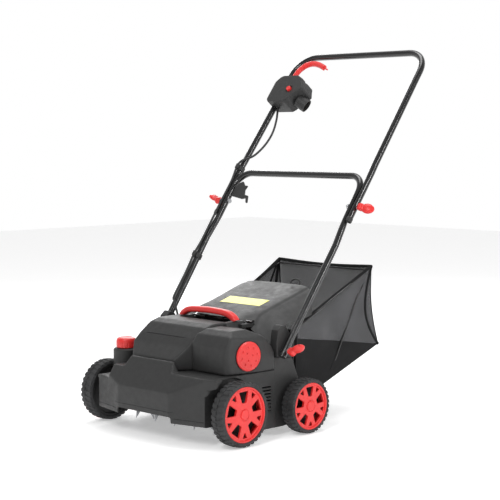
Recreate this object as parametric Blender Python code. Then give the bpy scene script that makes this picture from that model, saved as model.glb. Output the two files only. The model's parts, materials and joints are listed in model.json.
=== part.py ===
"""Electric lawn dethatcher: a wheeled deck with a bladed rotor, a folding handle and a rear bag.

Metres, +Z up.  +Y points back towards the user, -Y is the direction of travel and X runs across.
Every shape is drawn with y = 0 at the front wheel axle and z = 0 on the ground.  One parent empty
then puts the middle of the whole machine at the origin.
"""
import bmesh
import bpy
from math import atan2, cos, pi, radians, sin, sqrt
from mathutils import Matrix, Vector

# ---- driving dimensions ----
AXLE_Y = -0.3465           # front axle, from the middle of the machine
GAP = 0.0003               # play between pieces that touch

FRONT_WHEEL_R = 0.086
REAR_WHEEL_R = 0.075
REAR_AXLE_Y = 0.250
WHEEL_IN = 0.242           # inner face of a tyre
WHEEL_OUT = 0.285          # outer face of a tyre
AXLE_R = 0.005

DECK_HALF = 0.228
DECK_FRONT = -0.102
DECK_TOP = 0.178
WALL = 0.004
WELL_R = 0.090             # round recess in the deck beside each front wheel
WELL_X = 0.2125

ROTOR = (0.045, 0.070)     # (y, z) of the blade shaft
ROTOR_TIP_R = 0.064
ROTOR_SHAFT_R = 0.008
BLADES = 13
BLADE_PITCH = 0.025
BELT_X = 0.178             # middle plane of the belt
BELT_W = 0.009
ROTOR_PULLEY_R = 0.028
MOTOR = (0.063, 0.226)     # (y, z) of the motor shaft
MOTOR_R = 0.044
MOTOR_PULLEY_R = 0.015
MOTOR_SHAFT_R = 0.006

SWING = (-0.055, 0.105)    # (y, z) of the cranked front axle's pivot
CRANK_X = 0.2025

TUBE_R = 0.0095
TUBE_BORE_R = 0.0080
LOWER_PIVOT = (0.184, 0.228)
UPPER_PIVOT = (0.4520, 0.6030)
CROSSBAR = (0.511, 0.686)
TOP_BAR = (0.7856, 1.0414)
BOLT_R = 0.0040

FLAP_PIN = (0.1775, 0.2955)
FLAP_PIN_R = 0.003
LUG_X = (-0.090, 0.124)    # where the hood holds the flap's pin
BAG_HALF = 0.184
BAG_WALL = 0.0025
CABLE_R = 0.0033

LEG_DIR = Vector((0.0, CROSSBAR[0] - LOWER_PIVOT[0], CROSSBAR[1] - LOWER_PIVOT[1])).normalized()
BAR_DIR = Vector((0.0, TOP_BAR[0] - UPPER_PIVOT[0], TOP_BAR[1] - UPPER_PIVOT[1])).normalized()
BAR_FRONT = Vector((0.0, -BAR_DIR.z, BAR_DIR.y))     # out of the upper handle, towards the front
BOX_AT = Vector((0.0, UPPER_PIVOT[0], UPPER_PIVOT[1])) + BAR_DIR * 0.4050

FINISHES = {
    "black plastic": ((0.030, 0.031, 0.033), 0.55, 0.0),
    "red plastic": ((0.80, 0.045, 0.035), 0.40, 0.0),
    "rubber": ((0.022, 0.022, 0.023), 0.85, 0.0),
    "black tube": ((0.025, 0.026, 0.028), 0.30, 0.35),
    "steel": ((0.55, 0.56, 0.58), 0.30, 1.0),
    "dark fabric": ((0.018, 0.018, 0.019), 0.90, 0.0),
    "yellow label": ((0.88, 0.86, 0.30), 0.45, 0.0),
    "brass": ((0.75, 0.58, 0.25), 0.30, 1.0),
}

bodies = {}


# ---- scene and bodies ----
def clear_scene():
    for thing in list(bpy.data.objects):
        bpy.data.objects.remove(thing, do_unlink=True)


def add_body(name, parent, place):
    """An empty on the joint axis that the pieces of one moving body hang from."""
    empty = bpy.data.objects.new("pivot_" + name, None)
    bpy.context.collection.objects.link(empty)
    place = Vector(place)
    if parent is None:
        empty.location = (0.0, AXLE_Y, 0.0)
        place = Vector((0.0, 0.0, 0.0))
    else:
        empty.parent = bodies[parent][0]
        empty.location = place - bodies[parent][1]
    bodies[name] = (empty, place)


def make_material(name, finish):
    colour, roughness, metallic = FINISHES[finish]
    material = bpy.data.materials.new(name)
    material.use_nodes = True
    shader = material.node_tree.nodes["Principled BSDF"]
    shader.inputs["Base Color"].default_value = (*colour, 1.0)
    shader.inputs["Roughness"].default_value = roughness
    shader.inputs["Metallic"].default_value = metallic
    return material


def add_node(name, shape, body, finish, smooth=35.0):
    """Turn a bmesh into the named sub-part of a body."""
    empty, place = bodies[body]
    bmesh.ops.remove_doubles(shape, verts=shape.verts, dist=0.00002)
    bmesh.ops.recalc_face_normals(shape, faces=shape.faces)
    bmesh.ops.translate(shape, verts=shape.verts, vec=-place)
    mesh = bpy.data.meshes.new(name)
    shape.to_mesh(mesh)
    shape.free()
    mesh.shade_smooth()
    mesh.set_sharp_from_angle(angle=radians(smooth))
    mesh.materials.append(make_material(name, finish))
    piece = bpy.data.objects.new(name, mesh)
    bpy.context.collection.objects.link(piece)
    piece.parent = empty
    return piece


# ---- shape helpers ----
def prism(outline, axis, low, high):
    """A flat outline pushed along an axis: (y, z) along X, (x, z) along Y, (x, y) along Z."""
    shape = bmesh.new()

    def point(a, b, c):
        if axis == "X":
            return (c, a, b)
        if axis == "Y":
            return (a, c, b)
        return (a, b, c)

    first = [shape.verts.new(point(a, b, low)) for a, b in outline]
    last = [shape.verts.new(point(a, b, high)) for a, b in outline]
    shape.faces.new(first)
    shape.faces.new(last)
    for i in range(len(outline)):
        j = (i + 1) % len(outline)
        shape.faces.new((first[i], first[j], last[j], last[i]))
    bmesh.ops.recalc_face_normals(shape, faces=shape.faces)
    return shape


def box(low, high):
    return prism([(low[0], low[1]), (high[0], low[1]), (high[0], high[1]), (low[0], high[1])],
                 "Z", low[2], high[2])


def ring_points(radius, count, turn=0.0):
    return [(radius * cos(2 * pi * i / count + turn), radius * sin(2 * pi * i / count + turn))
            for i in range(count)]


def aim(shape, axis, place):
    """Turn a shape drawn along local +Z to an axis, and move it to its place."""
    turn = Vector(axis).to_track_quat("Z", "Y").to_matrix().to_4x4()
    bmesh.ops.transform(shape, matrix=Matrix.Translation(Vector(place)) @ turn, verts=shape.verts)
    return shape


def rod(radius, start, end, sides=16):
    start, end = Vector(start), Vector(end)
    shape = prism(ring_points(radius, sides), "Z", 0.0, (end - start).length)
    return aim(shape, end - start, start)


def turned(profile, start, axis, sides=24):
    """A closed profile of (radius, height) turned round an axis through start."""
    shape = bmesh.new()
    rings = []
    for radius, height in profile:
        if radius < 1e-6:
            rings.append([shape.verts.new((0.0, 0.0, height))] * sides)
        else:
            rings.append([shape.verts.new((x, y, height)) for x, y in ring_points(radius, sides)])
    for k in range(len(rings)):
        ring, following = rings[k], rings[(k + 1) % len(rings)]
        for i in range(sides):
            j = (i + 1) % sides
            corners = []
            for corner in (ring[i], ring[j], following[j], following[i]):
                if corner not in corners:
                    corners.append(corner)
            if len(corners) > 2:
                shape.faces.new(corners)
    bmesh.ops.recalc_face_normals(shape, faces=shape.faces)
    return aim(shape, axis, start)


def combine(first, second, operation="DIFFERENCE"):
    """Boolean of two closed shapes."""
    pieces = []
    for shape in (first, second):
        mesh = bpy.data.meshes.new("scrap")
        shape.to_mesh(mesh)
        shape.free()
        piece = bpy.data.objects.new("scrap", mesh)
        bpy.context.collection.objects.link(piece)
        pieces.append(piece)
    modifier = pieces[0].modifiers.new("cut", "BOOLEAN")
    modifier.object = pieces[1]
    modifier.operation = operation
    modifier.solver = "EXACT"
    result = bmesh.new()
    result.from_object(pieces[0], bpy.context.evaluated_depsgraph_get())
    for piece in pieces:
        bpy.data.objects.remove(piece, do_unlink=True)
    return result


def combine_all(shape, others, operation="DIFFERENCE"):
    for other in others:
        shape = combine(shape, other, operation)
    return shape


def soften(shape, width, angle=25.0, steps=1):
    """Round the outer edges of a shape that are sharper than an angle."""
    bmesh.ops.dissolve_limit(shape, angle_limit=radians(1.0), verts=shape.verts, edges=shape.edges)
    edges = [e for e in shape.edges
             if len(e.link_faces) == 2 and e.is_convex and e.calc_face_angle() > radians(angle)]
    bmesh.ops.bevel(shape, geom=edges, offset=width, segments=steps, profile=0.5, affect="EDGES",
                    clamp_overlap=True)
    return shape


def rounded(points, radius, steps=4):
    """Points of a bent rod: straight runs joined by arcs of one radius."""
    points = [Vector(p) for p in points]
    path = [points[0]]
    for before, corner, after in zip(points, points[1:], points[2:]):
        arrive = (corner - before).normalized()
        leave = (after - corner).normalized()
        bend = arrive.angle(leave)
        if bend < radians(3.0):
            path.append(corner)
            continue
        reach = radius * sin(bend / 2) / cos(bend / 2)
        start = corner - arrive * reach
        across = (leave - arrive * leave.dot(arrive)).normalized()
        for i in range(steps + 1):
            turn = bend * i / steps
            path.append(start + arrive * (radius * sin(turn)) + across * (radius * (1 - cos(turn))))
    path.append(points[-1])
    return path


def swept(path, radius, sides=10, bore=0.0, closed=False, flatten=None, section=None):
    """A rod or tube along a path.  flatten(point) squeezes it across the machine."""
    shape = bmesh.new()
    count = len(path)
    section = section or ring_points(1.0, sides)
    side = Vector((1.0, 0.0, 0.0))
    outer, inner = [], []
    for i, point in enumerate(path):
        before = path[i - 1] if i or closed else point
        after = path[(i + 1) % count] if i < count - 1 or closed else point
        ahead = (after - before).normalized()
        side = side - ahead * side.dot(ahead)
        if side.length < 0.2:
            side = Vector((0.0, 1.0, 0.0)) - ahead * ahead.y
        side.normalize()
        lift = ahead.cross(side)
        squeeze = flatten(point) if flatten else 1.0
        for rings, size in ((outer, radius), (inner, bore)):
            ring = []
            for a, b in section:
                offset = side * (a * size) + lift * (b * size)
                offset.x *= squeeze
                ring.append(shape.verts.new(point + offset))
            rings.append(ring)
    last = count if closed else count - 1
    for rings in (outer, inner) if bore else (outer,):
        for i in range(last):
            here, there = rings[i], rings[(i + 1) % count]
            for a in range(len(here)):
                b = (a + 1) % len(here)
                shape.faces.new((here[a], here[b], there[b], there[a]))
    if not closed:
        for i in (0, count - 1):
            if not bore:
                shape.faces.new(outer[i])
                continue
            for a in range(len(outer[i])):
                b = (a + 1) % len(outer[i])
                shape.faces.new((outer[i][a], outer[i][b], inner[i][b], inner[i][a]))
    if not bore:
        bmesh.ops.delete(shape, geom=[v for ring in inner for v in ring], context="VERTS")
    bmesh.ops.recalc_face_normals(shape, faces=shape.faces)
    return shape


def curve_through(points, spacing):
    """Evenly spread points on a smooth curve through hand-placed ones."""
    points = [Vector(p) for p in points]
    ends = [points[0] * 2 - points[1]] + points + [points[-1] * 2 - points[-2]]
    fine = []
    for a, b, c, d in zip(ends, ends[1:], ends[2:], ends[3:]):
        for i in range(24):
            t = i / 24
            fine.append(0.5 * (2 * b + (c - a) * t + (2 * a - 5 * b + 4 * c - d) * t * t
                               + (3 * b - a - 3 * c + d) * t * t * t))
    fine.append(points[-1])
    length = sum((q - p).length for p, q in zip(fine, fine[1:]))
    count = max(2, round(length / spacing))
    route, walked, target = [fine[0]], 0.0, 1
    for p, q in zip(fine, fine[1:]):
        step = (q - p).length
        while target < count and walked + step >= length * target / count:
            route.append(p.lerp(q, (length * target / count - walked) / step))
            target += 1
        walked += step
    route.append(fine[-1])
    return route


def add_cable(name, route, body):
    """A stretch of the mains lead, as a bevelled curve with closed ends."""
    empty, place = bodies[body]
    curve = bpy.data.curves.new(name, "CURVE")
    curve.dimensions = "3D"
    curve.bevel_depth = CABLE_R
    curve.bevel_resolution = 2
    curve.use_fill_caps = True
    spline = curve.splines.new("POLY")
    spline.points.add(len(route) - 1)
    for point, at in zip(spline.points, route):
        point.co = (*(at - place), 1.0)
    curve.materials.append(make_material(name, "rubber"))
    piece = bpy.data.objects.new(name, curve)
    bpy.context.collection.objects.link(piece)
    piece.parent = empty


def split_route(route, height):
    """Cut a falling route at a height and leave the usual gap there."""
    for before, after in zip(route, route[1:]):
        if before.z > height >= after.z:
            middle = before.lerp(after, (before.z - height) / (before.z - after.z))
            ahead = (after - before).normalized()
            pull, straight = ahead * (GAP / 2), ahead * CABLE_R
            above = [p for p in route if p.z > height and (p - middle).length > 2 * CABLE_R]
            below = [p for p in route if p.z <= height and (p - middle).length > 2 * CABLE_R]
            return (above + [middle - pull - straight, middle - pull],
                    [middle + pull, middle + pull + straight] + below)
    raise ValueError("the route doesn't fall past that height")


# ---- deck ----
def build_deck_shell():
    plan = [(-DECK_HALF, 0.17), (-DECK_HALF, -0.045), (-0.221, -0.0745), (-0.101, DECK_FRONT),
            (0.101, DECK_FRONT), (0.221, -0.0745), (DECK_HALF, -0.045), (DECK_HALF, 0.17)]
    side = [(DECK_FRONT, 0.052), (DECK_FRONT, 0.132), (-0.058, 0.206), (-0.050, 0.206),
            (-0.046, DECK_TOP), (0.168, DECK_TOP), (0.168, 0.020), (0.092, 0.020), (0.070, 0.052)]
    front = [(-DECK_HALF, 0.0), (-DECK_HALF, 0.143), (-0.154, 0.143), (-0.150, DECK_TOP),
             (-0.108, DECK_TOP), (-0.092, 0.220), (0.066, 0.220), (0.082, DECK_TOP),
             (DECK_HALF, DECK_TOP), (DECK_HALF, 0.0)]
    shell = prism(side, "X", -DECK_HALF, DECK_HALF)
    shell = combine(shell, prism(plan, "Z", 0.0, 0.25), "INTERSECT")
    shell = combine(shell, prism(front, "Y", -0.12, 0.18), "INTERSECT")
    shell = soften(shell, 0.0035)
    rear = [(0.1655, 0.020), (0.1655, 0.2125), (0.235, 0.204), (0.262, 0.138), (0.274, 0.028),
            (0.200, 0.020)]
    shell = combine(shell, prism(rear, "X", -DECK_HALF, DECK_HALF), "UNION")
    guard = prism([(0.205, -0.0780), (0.249, -0.0681), (0.249, -0.046), (0.227, -0.032),
                   (0.205, -0.032)], "Z", 0.150, DECK_TOP - 0.0005)
    guard = soften(guard, 0.0030, 60.0)
    for drop, back in ((0.0, 0.0), (0.0170, 0.0035)):
        wheel = (FRONT_WHEEL_R + drop, back)
        guard = combine(guard, rod(WELL_R, (0.23, wheel[1], wheel[0]), (0.26, wheel[1], wheel[0]), 40))
    shell = combine(shell, guard, "UNION")

    hollow = prism([(-0.098, -0.02), (-0.098, 0.131), (-0.0735, 0.174), (0.168, 0.174),
                    (0.168, -0.02)], "X", -0.224, 0.224)
    hollow_plan = [(-0.224, 0.20), (-0.224, 0.097), (-0.2085, 0.093), (-0.2085, -0.0725),
                   (-0.1005, -0.098), (0.1005, -0.098), (0.2085, -0.0725), (0.2085, 0.093),
                   (0.224, 0.097), (0.224, 0.20)]
    hollow = combine(hollow, prism(hollow_plan, "Z", -0.03, 0.25), "INTERSECT")
    shoulder = [(-0.24, -0.03), (-0.24, 0.139), (-0.150, 0.139), (-0.146, 0.25), (0.24, 0.25),
                (0.24, -0.03)]
    hollow = combine(hollow, prism(shoulder, "Y", -0.12, 0.21), "INTERSECT")
    rear_hollow = prism([(0.1665, -0.02), (0.1665, 0.173), (0.1695, 0.176), (0.1695, 0.2080),
                         (0.232, 0.1995), (0.2577, 0.1375), (0.2697, 0.02), (0.2697, -0.02)],
                        "X", -0.224, 0.224)
    cuts = [hollow, rear_hollow, box((-0.105, -0.12, 0.0), (0.108, -0.080, 0.069)),
            box((-0.185, 0.240, 0.060), (0.185, 0.290, 0.178)),
            box((0.168, 0.026, 0.170), (0.189, 0.090, 0.190))]
    for sign in (-1, 1):
        cuts.append(rod(WELL_R, (sign * WELL_X, 0.0, FRONT_WHEEL_R),
                        (sign * 0.24, 0.0, FRONT_WHEEL_R), 40))
        low, high = sorted((sign * 0.200, sign * 0.2300))
        cuts.append(box((low, -0.009, 0.077), (high, 0.0125, 0.1125)))
        cuts.append(rod(AXLE_R + GAP, (sign * 0.215, REAR_AXLE_Y, REAR_WHEEL_R),
                        (sign * 0.235, REAR_AXLE_Y, REAR_WHEEL_R), 12))
    for i in range(7):
        low = 0.066 + 0.0095 * i
        cuts.append(box((0.220, 0.118, low), (0.235, 0.152, low + 0.0045)))
    add_node("deck_shell", combine_all(shell, cuts), "deck", "black plastic")


def hood_solid(shrink):
    """The hood's outer form, or its hollow when shrunk by the wall."""
    s = shrink
    low = 0.1785 if s == 0 else 0.150
    side = [(-0.0455 + s, low), (-0.0445 + s, 0.207), (-0.010 + s * 0.7, 0.240 - s * 0.7),
            (0.006 + s * 0.8, 0.262 - s * 0.6), (0.034 + s * 0.4, 0.289 - s * 0.9),
            (0.060, 0.298 - s), (0.165 - s, 0.300 - s), (0.165 - s, low)]
    plan = [(-0.152 + s, -0.012 + s * 0.5), (-0.128 + s * 0.5, -0.0455 + s), (0.050, -0.0455 + s),
            (0.102 - s, -0.002 + s * 0.4), (0.102 - s, 0.0965 + s), (0.145 - s, 0.0965 + s),
            (0.145 - s, 0.165 - s), (-0.152 + s, 0.165 - s)]
    front = [(-0.152 + s, 0.14), (-0.149 + s, 0.215), (-0.116 + s, 0.31), (0.146, 0.31),
             (0.146, 0.14)]
    solid = prism(side, "X", -0.152, 0.145)
    solid = combine(solid, prism(plan, "Z", 0.14, 0.32), "INTERSECT")
    return combine(solid, prism(front, "Y", -0.06, 0.18), "INTERSECT")


def build_top_cover():
    wall = 0.003
    grip_room = box((-0.083, 0.106, 0.272), (0.096, 0.180, 0.33))
    grip_wall = box((-0.083 - wall, 0.106 - wall, 0.272 - wall), (0.096 + wall, 0.18, 0.33))
    shell = combine(soften(hood_solid(0.0), 0.005), grip_room)
    shell = combine(shell, combine(hood_solid(wall), grip_wall))
    seat = FLAP_PIN[1] - FLAP_PIN_R - GAP
    lugs = [box((x - 0.006, 0.140, seat - 0.010), (x + 0.006, 0.1835, seat)) for x in LUG_X]
    shell = combine_all(shell, lugs, "UNION")
    holes = [rod(0.0095, (0.090, *MOTOR), (0.110, *MOTOR), 12)]
    add_node("top_cover", combine_all(shell, holes), "deck", "black plastic")


CAP_AT = Vector((0.2276, 0.066, 0.2245))
CAP_AXIS = Vector((0.1060, -0.0150, 0.0)).normalized()


def dome_solid(shrink):
    s = shrink
    low = 0.1785 if s == 0 else 0.160
    open_side = 0.1025 if s == 0 else 0.090
    side = [(-0.006 + s, low), (-0.003 + s, 0.250), (0.010 + s * 0.8, 0.277 - s * 0.5),
            (0.034, 0.290 - s), (0.085, 0.292 - s), (0.125 - s * 0.5, 0.274 - s),
            (0.150 - s * 0.8, 0.243 - s * 0.5), (0.160 - s, 0.225 - s), (0.160 - s, low)]
    plan = [(open_side, -0.002 + s), (0.209, -0.006 + s), (0.219 - s, 0.004 + s * 0.4),
            (0.234 - s, 0.110), (0.234 - s, 0.160 - s), (0.1455 + s, 0.160 - s),
            (0.1455 + s, 0.0960 - s), (open_side, 0.0960 - s)]
    front = [(0.09, 0.15), (0.09, 0.294 - s), (0.196, 0.292 - s), (0.224 - s * 0.7, 0.272 - s * 0.7),
             (0.236 - s, 0.258), (0.236 - s, 0.15)]
    solid = prism(side, "X", open_side, 0.236)
    solid = combine(solid, prism(plan, "Z", 0.15, 0.31), "INTERSECT")
    return combine(solid, prism(front, "Y", -0.02, 0.18), "INTERSECT")


def build_belt_cover():
    shell = combine(soften(dome_solid(0.0), 0.005), dome_solid(0.003))
    hole = rod(0.0358, CAP_AT - CAP_AXIS * 0.012, CAP_AT + CAP_AXIS * 0.02, 32)
    add_node("belt_cover", combine(shell, hole), "deck", "black plastic")


def build_belt_cover_cap():
    profile = [(0.0, -0.003), (0.0355, -0.003), (0.0355, GAP), (0.0392, GAP), (0.0392, 0.0025),
               (0.0372, 0.0045), (0.020, 0.0052), (0.0, 0.0052)]
    add_node("belt_cover_cap", turned(profile, CAP_AT, CAP_AXIS, 32), "deck", "red plastic")


CARRY_ARCH = [(-0.0995, 0.2985), (-0.088, 0.3095), (-0.062, 0.3185), (0.010, 0.3220),
              (0.076, 0.3185), (0.102, 0.3095), (0.1130, 0.2985)]


def build_carry_handle():
    path = [(x, 0.135, z) for x, z in CARRY_ARCH]
    section = [(-0.011, -0.0055), (-0.0085, -0.0085), (0.0085, -0.0085), (0.011, -0.0055),
               (0.011, 0.0045), (0.0075, 0.0085), (-0.0075, 0.0085), (-0.011, 0.0045)]
    route = curve_through(path, 0.012)
    bar = swept(route, 1.0, section=[(b, a) for a, b in section])
    floor = box((-0.13, 0.10, 0.27), (0.16, 0.17, 0.3008))
    add_node("carry_handle", combine(bar, floor), "deck", "red plastic")


def build_motor():
    y, z = MOTOR
    length = 0.180
    profile = [(0.0, 0.0), (0.030, 0.0), (0.036, 0.006), (MOTOR_R, 0.014), (MOTOR_R, 0.160),
               (0.034, 0.170), (0.016, 0.174), (0.016, length), (MOTOR_SHAFT_R + 0.0004, length),
               (MOTOR_SHAFT_R + 0.0004, 0.170), (0.034, 0.156), (0.034, 0.014),
               (0.010, 0.010), (0.0, 0.010)]
    housing = turned(profile, (-0.100, y, z), (1.0, 0.0, 0.0), 24)
    add_node("motor_housing", housing, "deck", "steel")
    seat_r = MOTOR_R + 2 * GAP
    arc = [(y + seat_r * cos(radians(a)), z + seat_r * sin(radians(a)))
           for a in range(-150, -29, 10)]
    saddle = arc + [(y + 0.046, z - 0.030), (y + 0.046, DECK_TOP + GAP), (y - 0.046, DECK_TOP + GAP),
                    (y - 0.046, z - 0.030)]
    add_node("motor_saddle", prism(saddle, "X", -0.070, 0.040), "deck", "black plastic")
    core = [(0.0, 0.012), (MOTOR_SHAFT_R, 0.012), (MOTOR_SHAFT_R, 0.030), (0.029, 0.032),
            (0.029, 0.130), (MOTOR_SHAFT_R, 0.132), (MOTOR_SHAFT_R, 0.288), (0.0, 0.288)]
    armature = turned(core, (-0.100, y, z), (1.0, 0.0, 0.0), 20)
    add_node("motor_armature", armature, "armature", "steel")


def pulley(radius, bore, place, sides):
    half = BELT_W / 2
    profile = [(bore, -half - 0.002), (radius + 0.004, -half - 0.002), (radius + 0.004, -half - 0.0005),
               (radius, -half - 0.0003), (radius, half + 0.0003), (radius + 0.004, half + 0.0005),
               (radius + 0.004, half + 0.002), (bore, half + 0.002)]
    return turned(profile, place, (1.0, 0.0, 0.0), sides)


def belt_loop(grow):
    """Outline of a belt round both pulleys, at a distance outside their grooves."""
    low, high = Vector(ROTOR), Vector(MOTOR)
    r_low, r_high = ROTOR_PULLEY_R + grow, MOTOR_PULLEY_R + grow
    line = high - low
    along = atan2(line.y, line.x)
    spread = pi / 2 + (r_low - r_high) / line.length
    points = []
    for i in range(11):
        turn = along + (i / 10 * 2 - 1) * (pi - spread)
        points.append((high.x + r_high * cos(turn), high.y + r_high * sin(turn)))
    for i in range(15):
        turn = along + (pi - spread) + 2 * spread * i / 14
        points.append((low.x + r_low * cos(turn), low.y + r_low * sin(turn)))
    return points


def build_belt_drive():
    add_node("rotor_pulley", pulley(ROTOR_PULLEY_R, ROTOR_SHAFT_R + GAP / 2, (BELT_X, *ROTOR), 28),
             "rotor", "black plastic")
    add_node("motor_pulley", pulley(MOTOR_PULLEY_R, MOTOR_SHAFT_R + GAP / 2, (BELT_X, *MOTOR), 20),
             "armature", "steel")
    half = BELT_W / 2 - 0.0003
    outer = prism(belt_loop(0.0032), "X", BELT_X - half, BELT_X + half)
    inner = prism(belt_loop(0.0006), "X", BELT_X - 0.02, BELT_X + 0.02)
    add_node("drive_belt", combine(outer, inner), "deck", "rubber")


def build_rotor():
    y, z = ROTOR
    shaft = turned([(0.0, -0.2078), (ROTOR_SHAFT_R, -0.2078), (ROTOR_SHAFT_R, 0.2078),
                    (0.0, 0.2078)], (0.0, y, z), (1.0, 0.0, 0.0), 12)
    add_node("rotor_shaft", shaft, "rotor", "steel")
    half = (BLADES - 1) / 2
    stack = turned([(ROTOR_SHAFT_R + GAP, -0.172), (0.0135, -0.172), (0.0135, 0.152),
                    (ROTOR_SHAFT_R + GAP, 0.152)], (0.0, y, z), (1.0, 0.0, 0.0), 12)
    for i in range(BLADES):
        x = (i - half) * BLADE_PITCH - 0.010
        outline = []
        for arm in range(3):
            start = 2 * pi * arm / 3 + i * radians(41.0)
            for turn, radius in ((-0.42, 0.019), (-0.30, 0.040), (0.0, ROTOR_TIP_R), (0.10, 0.042),
                                 (0.36, 0.022)):
                outline.append((y + radius * cos(start + turn), z + radius * sin(start + turn)))
        plate = combine(prism(outline, "X", x - 0.001, x + 0.001),
                        rod(0.0110, (x - 0.01, y, z), (x + 0.01, y, z), 10))
        stack = combine(stack, plate, "UNION")
    add_node("blade_stack", stack, "rotor", "steel")
    for side, x, top in (("left", -0.2082, 0.1385), ("right", 0.2022, 0.1735)):
        plate = prism([(y - 0.026, top), (y - 0.026, z), (y - 0.014, z - 0.022),
                       (y + 0.014, z - 0.022), (y + 0.026, z), (y + 0.026, top)],
                      "X", x, x + 0.006)
        hole = rod(ROTOR_SHAFT_R + 0.0004, (x - 0.01, y, z), (x + 0.02, y, z), 16)
        add_node("bearing_plate_" + side, combine(plate, hole), "deck", "steel")


# ---- wheels ----
def build_wheel(name, body, sign, y, radius, z):
    width = WHEEL_OUT - WHEEL_IN
    rim_r = radius * 0.845
    seat_r = rim_r + GAP
    axis = (sign, 0.0, 0.0)
    place = (sign * WHEEL_IN, y, z)
    tyre = [(seat_r, 0.0), (radius - 0.006, 0.0), (radius - 0.0018, 0.004), (radius, 0.010),
            (radius, width - 0.010), (radius - 0.0018, width - 0.004), (radius - 0.006, width),
            (seat_r, width)]
    add_node(name + "_tyre", turned(tyre, place, axis, 24), body, "rubber")

    def web(count, inner, outer, spread_in, spread_out, turn):
        holes = []
        for i in range(count):
            middle = 2 * pi * i / count + turn
            outline = [(inner * cos(middle - spread_in), inner * sin(middle - spread_in)),
                       (outer * cos(middle - spread_out), outer * sin(middle - spread_out)),
                       (outer * cos(middle + spread_out), outer * sin(middle + spread_out)),
                       (inner * cos(middle + spread_in), inner * sin(middle + spread_in))]
            holes.append(aim(prism(outline, "Z", width - 0.025, width + 0.01), axis, place))
        return holes

    rim = [(AXLE_R + 0.0004, 0.003), (rim_r, 0.003),
           (rim_r, width - 0.001), (rim_r - 0.004, width - 0.003), (rim_r - 0.0055, width - 0.006),
           (0.020, width - 0.004), (0.0140, width - 0.0048), (0.0130, width - 0.0022),
           (0.0, width - 0.0014), (0.0, width - 0.007), (AXLE_R + 0.0004, width - 0.007)]
    room = [(0.013, 0.006), (rim_r - 0.0035, 0.006), (rim_r - 0.0035, width - 0.011),
            (0.013, width - 0.011)]
    shape = combine(turned(rim, place, axis, 24), turned(room, place, axis, 24))
    holes = web(5, rim_r * 0.36, rim_r * 0.84, 0.16, 0.27, 0.35)
    holes += web(5, rim_r * 0.70, rim_r * 0.84, 0.03, 0.12, 0.35 + pi / 5)
    add_node(name + "_rim", combine_all(shape, holes), body, "red plastic")


def build_axles():
    y, z = SWING
    reach = 0.2770
    path = rounded([(-reach, 0.0, FRONT_WHEEL_R), (-CRANK_X, 0.0, FRONT_WHEEL_R),
                    (-CRANK_X, y, z), (CRANK_X, y, z), (CRANK_X, 0.0, FRONT_WHEEL_R),
                    (reach, 0.0, FRONT_WHEEL_R)], 0.0065, 3)
    add_node("front_axle", swept(path, AXLE_R, 10), "front_axle", "steel")
    for side, sign in (("left", -1), ("right", 1)):
        profile = [(0.0, 0.2150), (0.009, 0.2150), (0.009, 0.2235), (AXLE_R, 0.2235),
                   (AXLE_R, 0.2770), (0.0, 0.2770)]
        stub = turned(profile, (0.0, REAR_AXLE_Y, REAR_WHEEL_R), (sign, 0.0, 0.0), 10)
        add_node("rear_axle_" + side, stub, "deck", "steel")


# ---- depth knob ----
def build_depth_knob():
    x, y = -0.200, 0.012
    column = prism([(x + a, y + b) for a, b in ring_points(0.036, 20, pi / 20)], "Z", 0.1433, 0.2090)
    shape = soften(column, 0.004, 60.0)
    socket = rod(0.0105, (x, y, 0.180), (x, y, 0.23), 16)
    add_node("knob_pedestal", combine(shape, socket), "deck", "black plastic")
    profile = [(0.0, 0.182), (0.010, 0.182), (0.010, 0.2093), (0.0255, 0.2093), (0.0280, 0.2125),
               (0.0280, 0.2295), (0.0245, 0.2360), (0.0, 0.2380)]
    add_node("depth_knob", turned(profile, (x, y, 0.0), (0.0, 0.0, 1.0), 24), "depth_knob",
             "red plastic")


# ---- lower handle ----
def leg_at(z):
    """Centre line (y, z) of the lower handle's legs."""
    return LOWER_PIVOT[0] + (z - LOWER_PIVOT[1]) * LEG_DIR.y / LEG_DIR.z


def bar_at(z):
    """Centre line (y, z) of the upper handle's legs."""
    return UPPER_PIVOT[0] + (z - UPPER_PIVOT[1]) * BAR_DIR.y / BAR_DIR.z


def joint_squeeze(low, high, blend):
    """Tubes are pressed flatter where the two handles lie side by side."""
    def squeeze(point):
        if abs(point.x) < 0.22:
            return 1.0
        depth = min(point.z - low, high - point.z) / blend
        return 1.0 - 0.27 * max(0.0, min(1.0, depth))
    return squeeze


def handle_path(legs, bar, centre_line, radius, steps):
    right = [(x, centre_line(z), z) for x, z in legs]
    left = [(-x, y, z) for x, y, z in reversed(right)]
    corner = legs[-1][0]
    return rounded(right + [(corner, *bar), (-corner, *bar)] + left, radius, steps)


def build_lower_handle():
    legs = [(0.2490, 0.2130), (0.2490, 0.270), (0.2550, 0.500), (0.2475, 0.566), (0.2475, 0.585),
            (0.2475, 0.630)]
    path = handle_path(legs, CROSSBAR, leg_at, 0.050, 5)
    squeeze = joint_squeeze(0.545, 0.658, 0.022)
    tube = swept(path, TUBE_R, 10, bore=TUBE_BORE_R, flatten=squeeze)
    holes = []
    for place in (LOWER_PIVOT, UPPER_PIVOT):
        holes.append(rod(BOLT_R + GAP, (-0.30, *place), (-0.20, *place), 8))
        holes.append(rod(BOLT_R + GAP, (0.20, *place), (0.30, *place), 8))
    add_node("lower_handle_tube", combine_all(tube, holes), "lower_handle", "black tube")
    bolt_reach = 0.2490 + TUBE_R + 0.0015
    add_bolts("lower", LOWER_PIVOT, 0.2035, 0.2090, bolt_reach)


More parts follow.
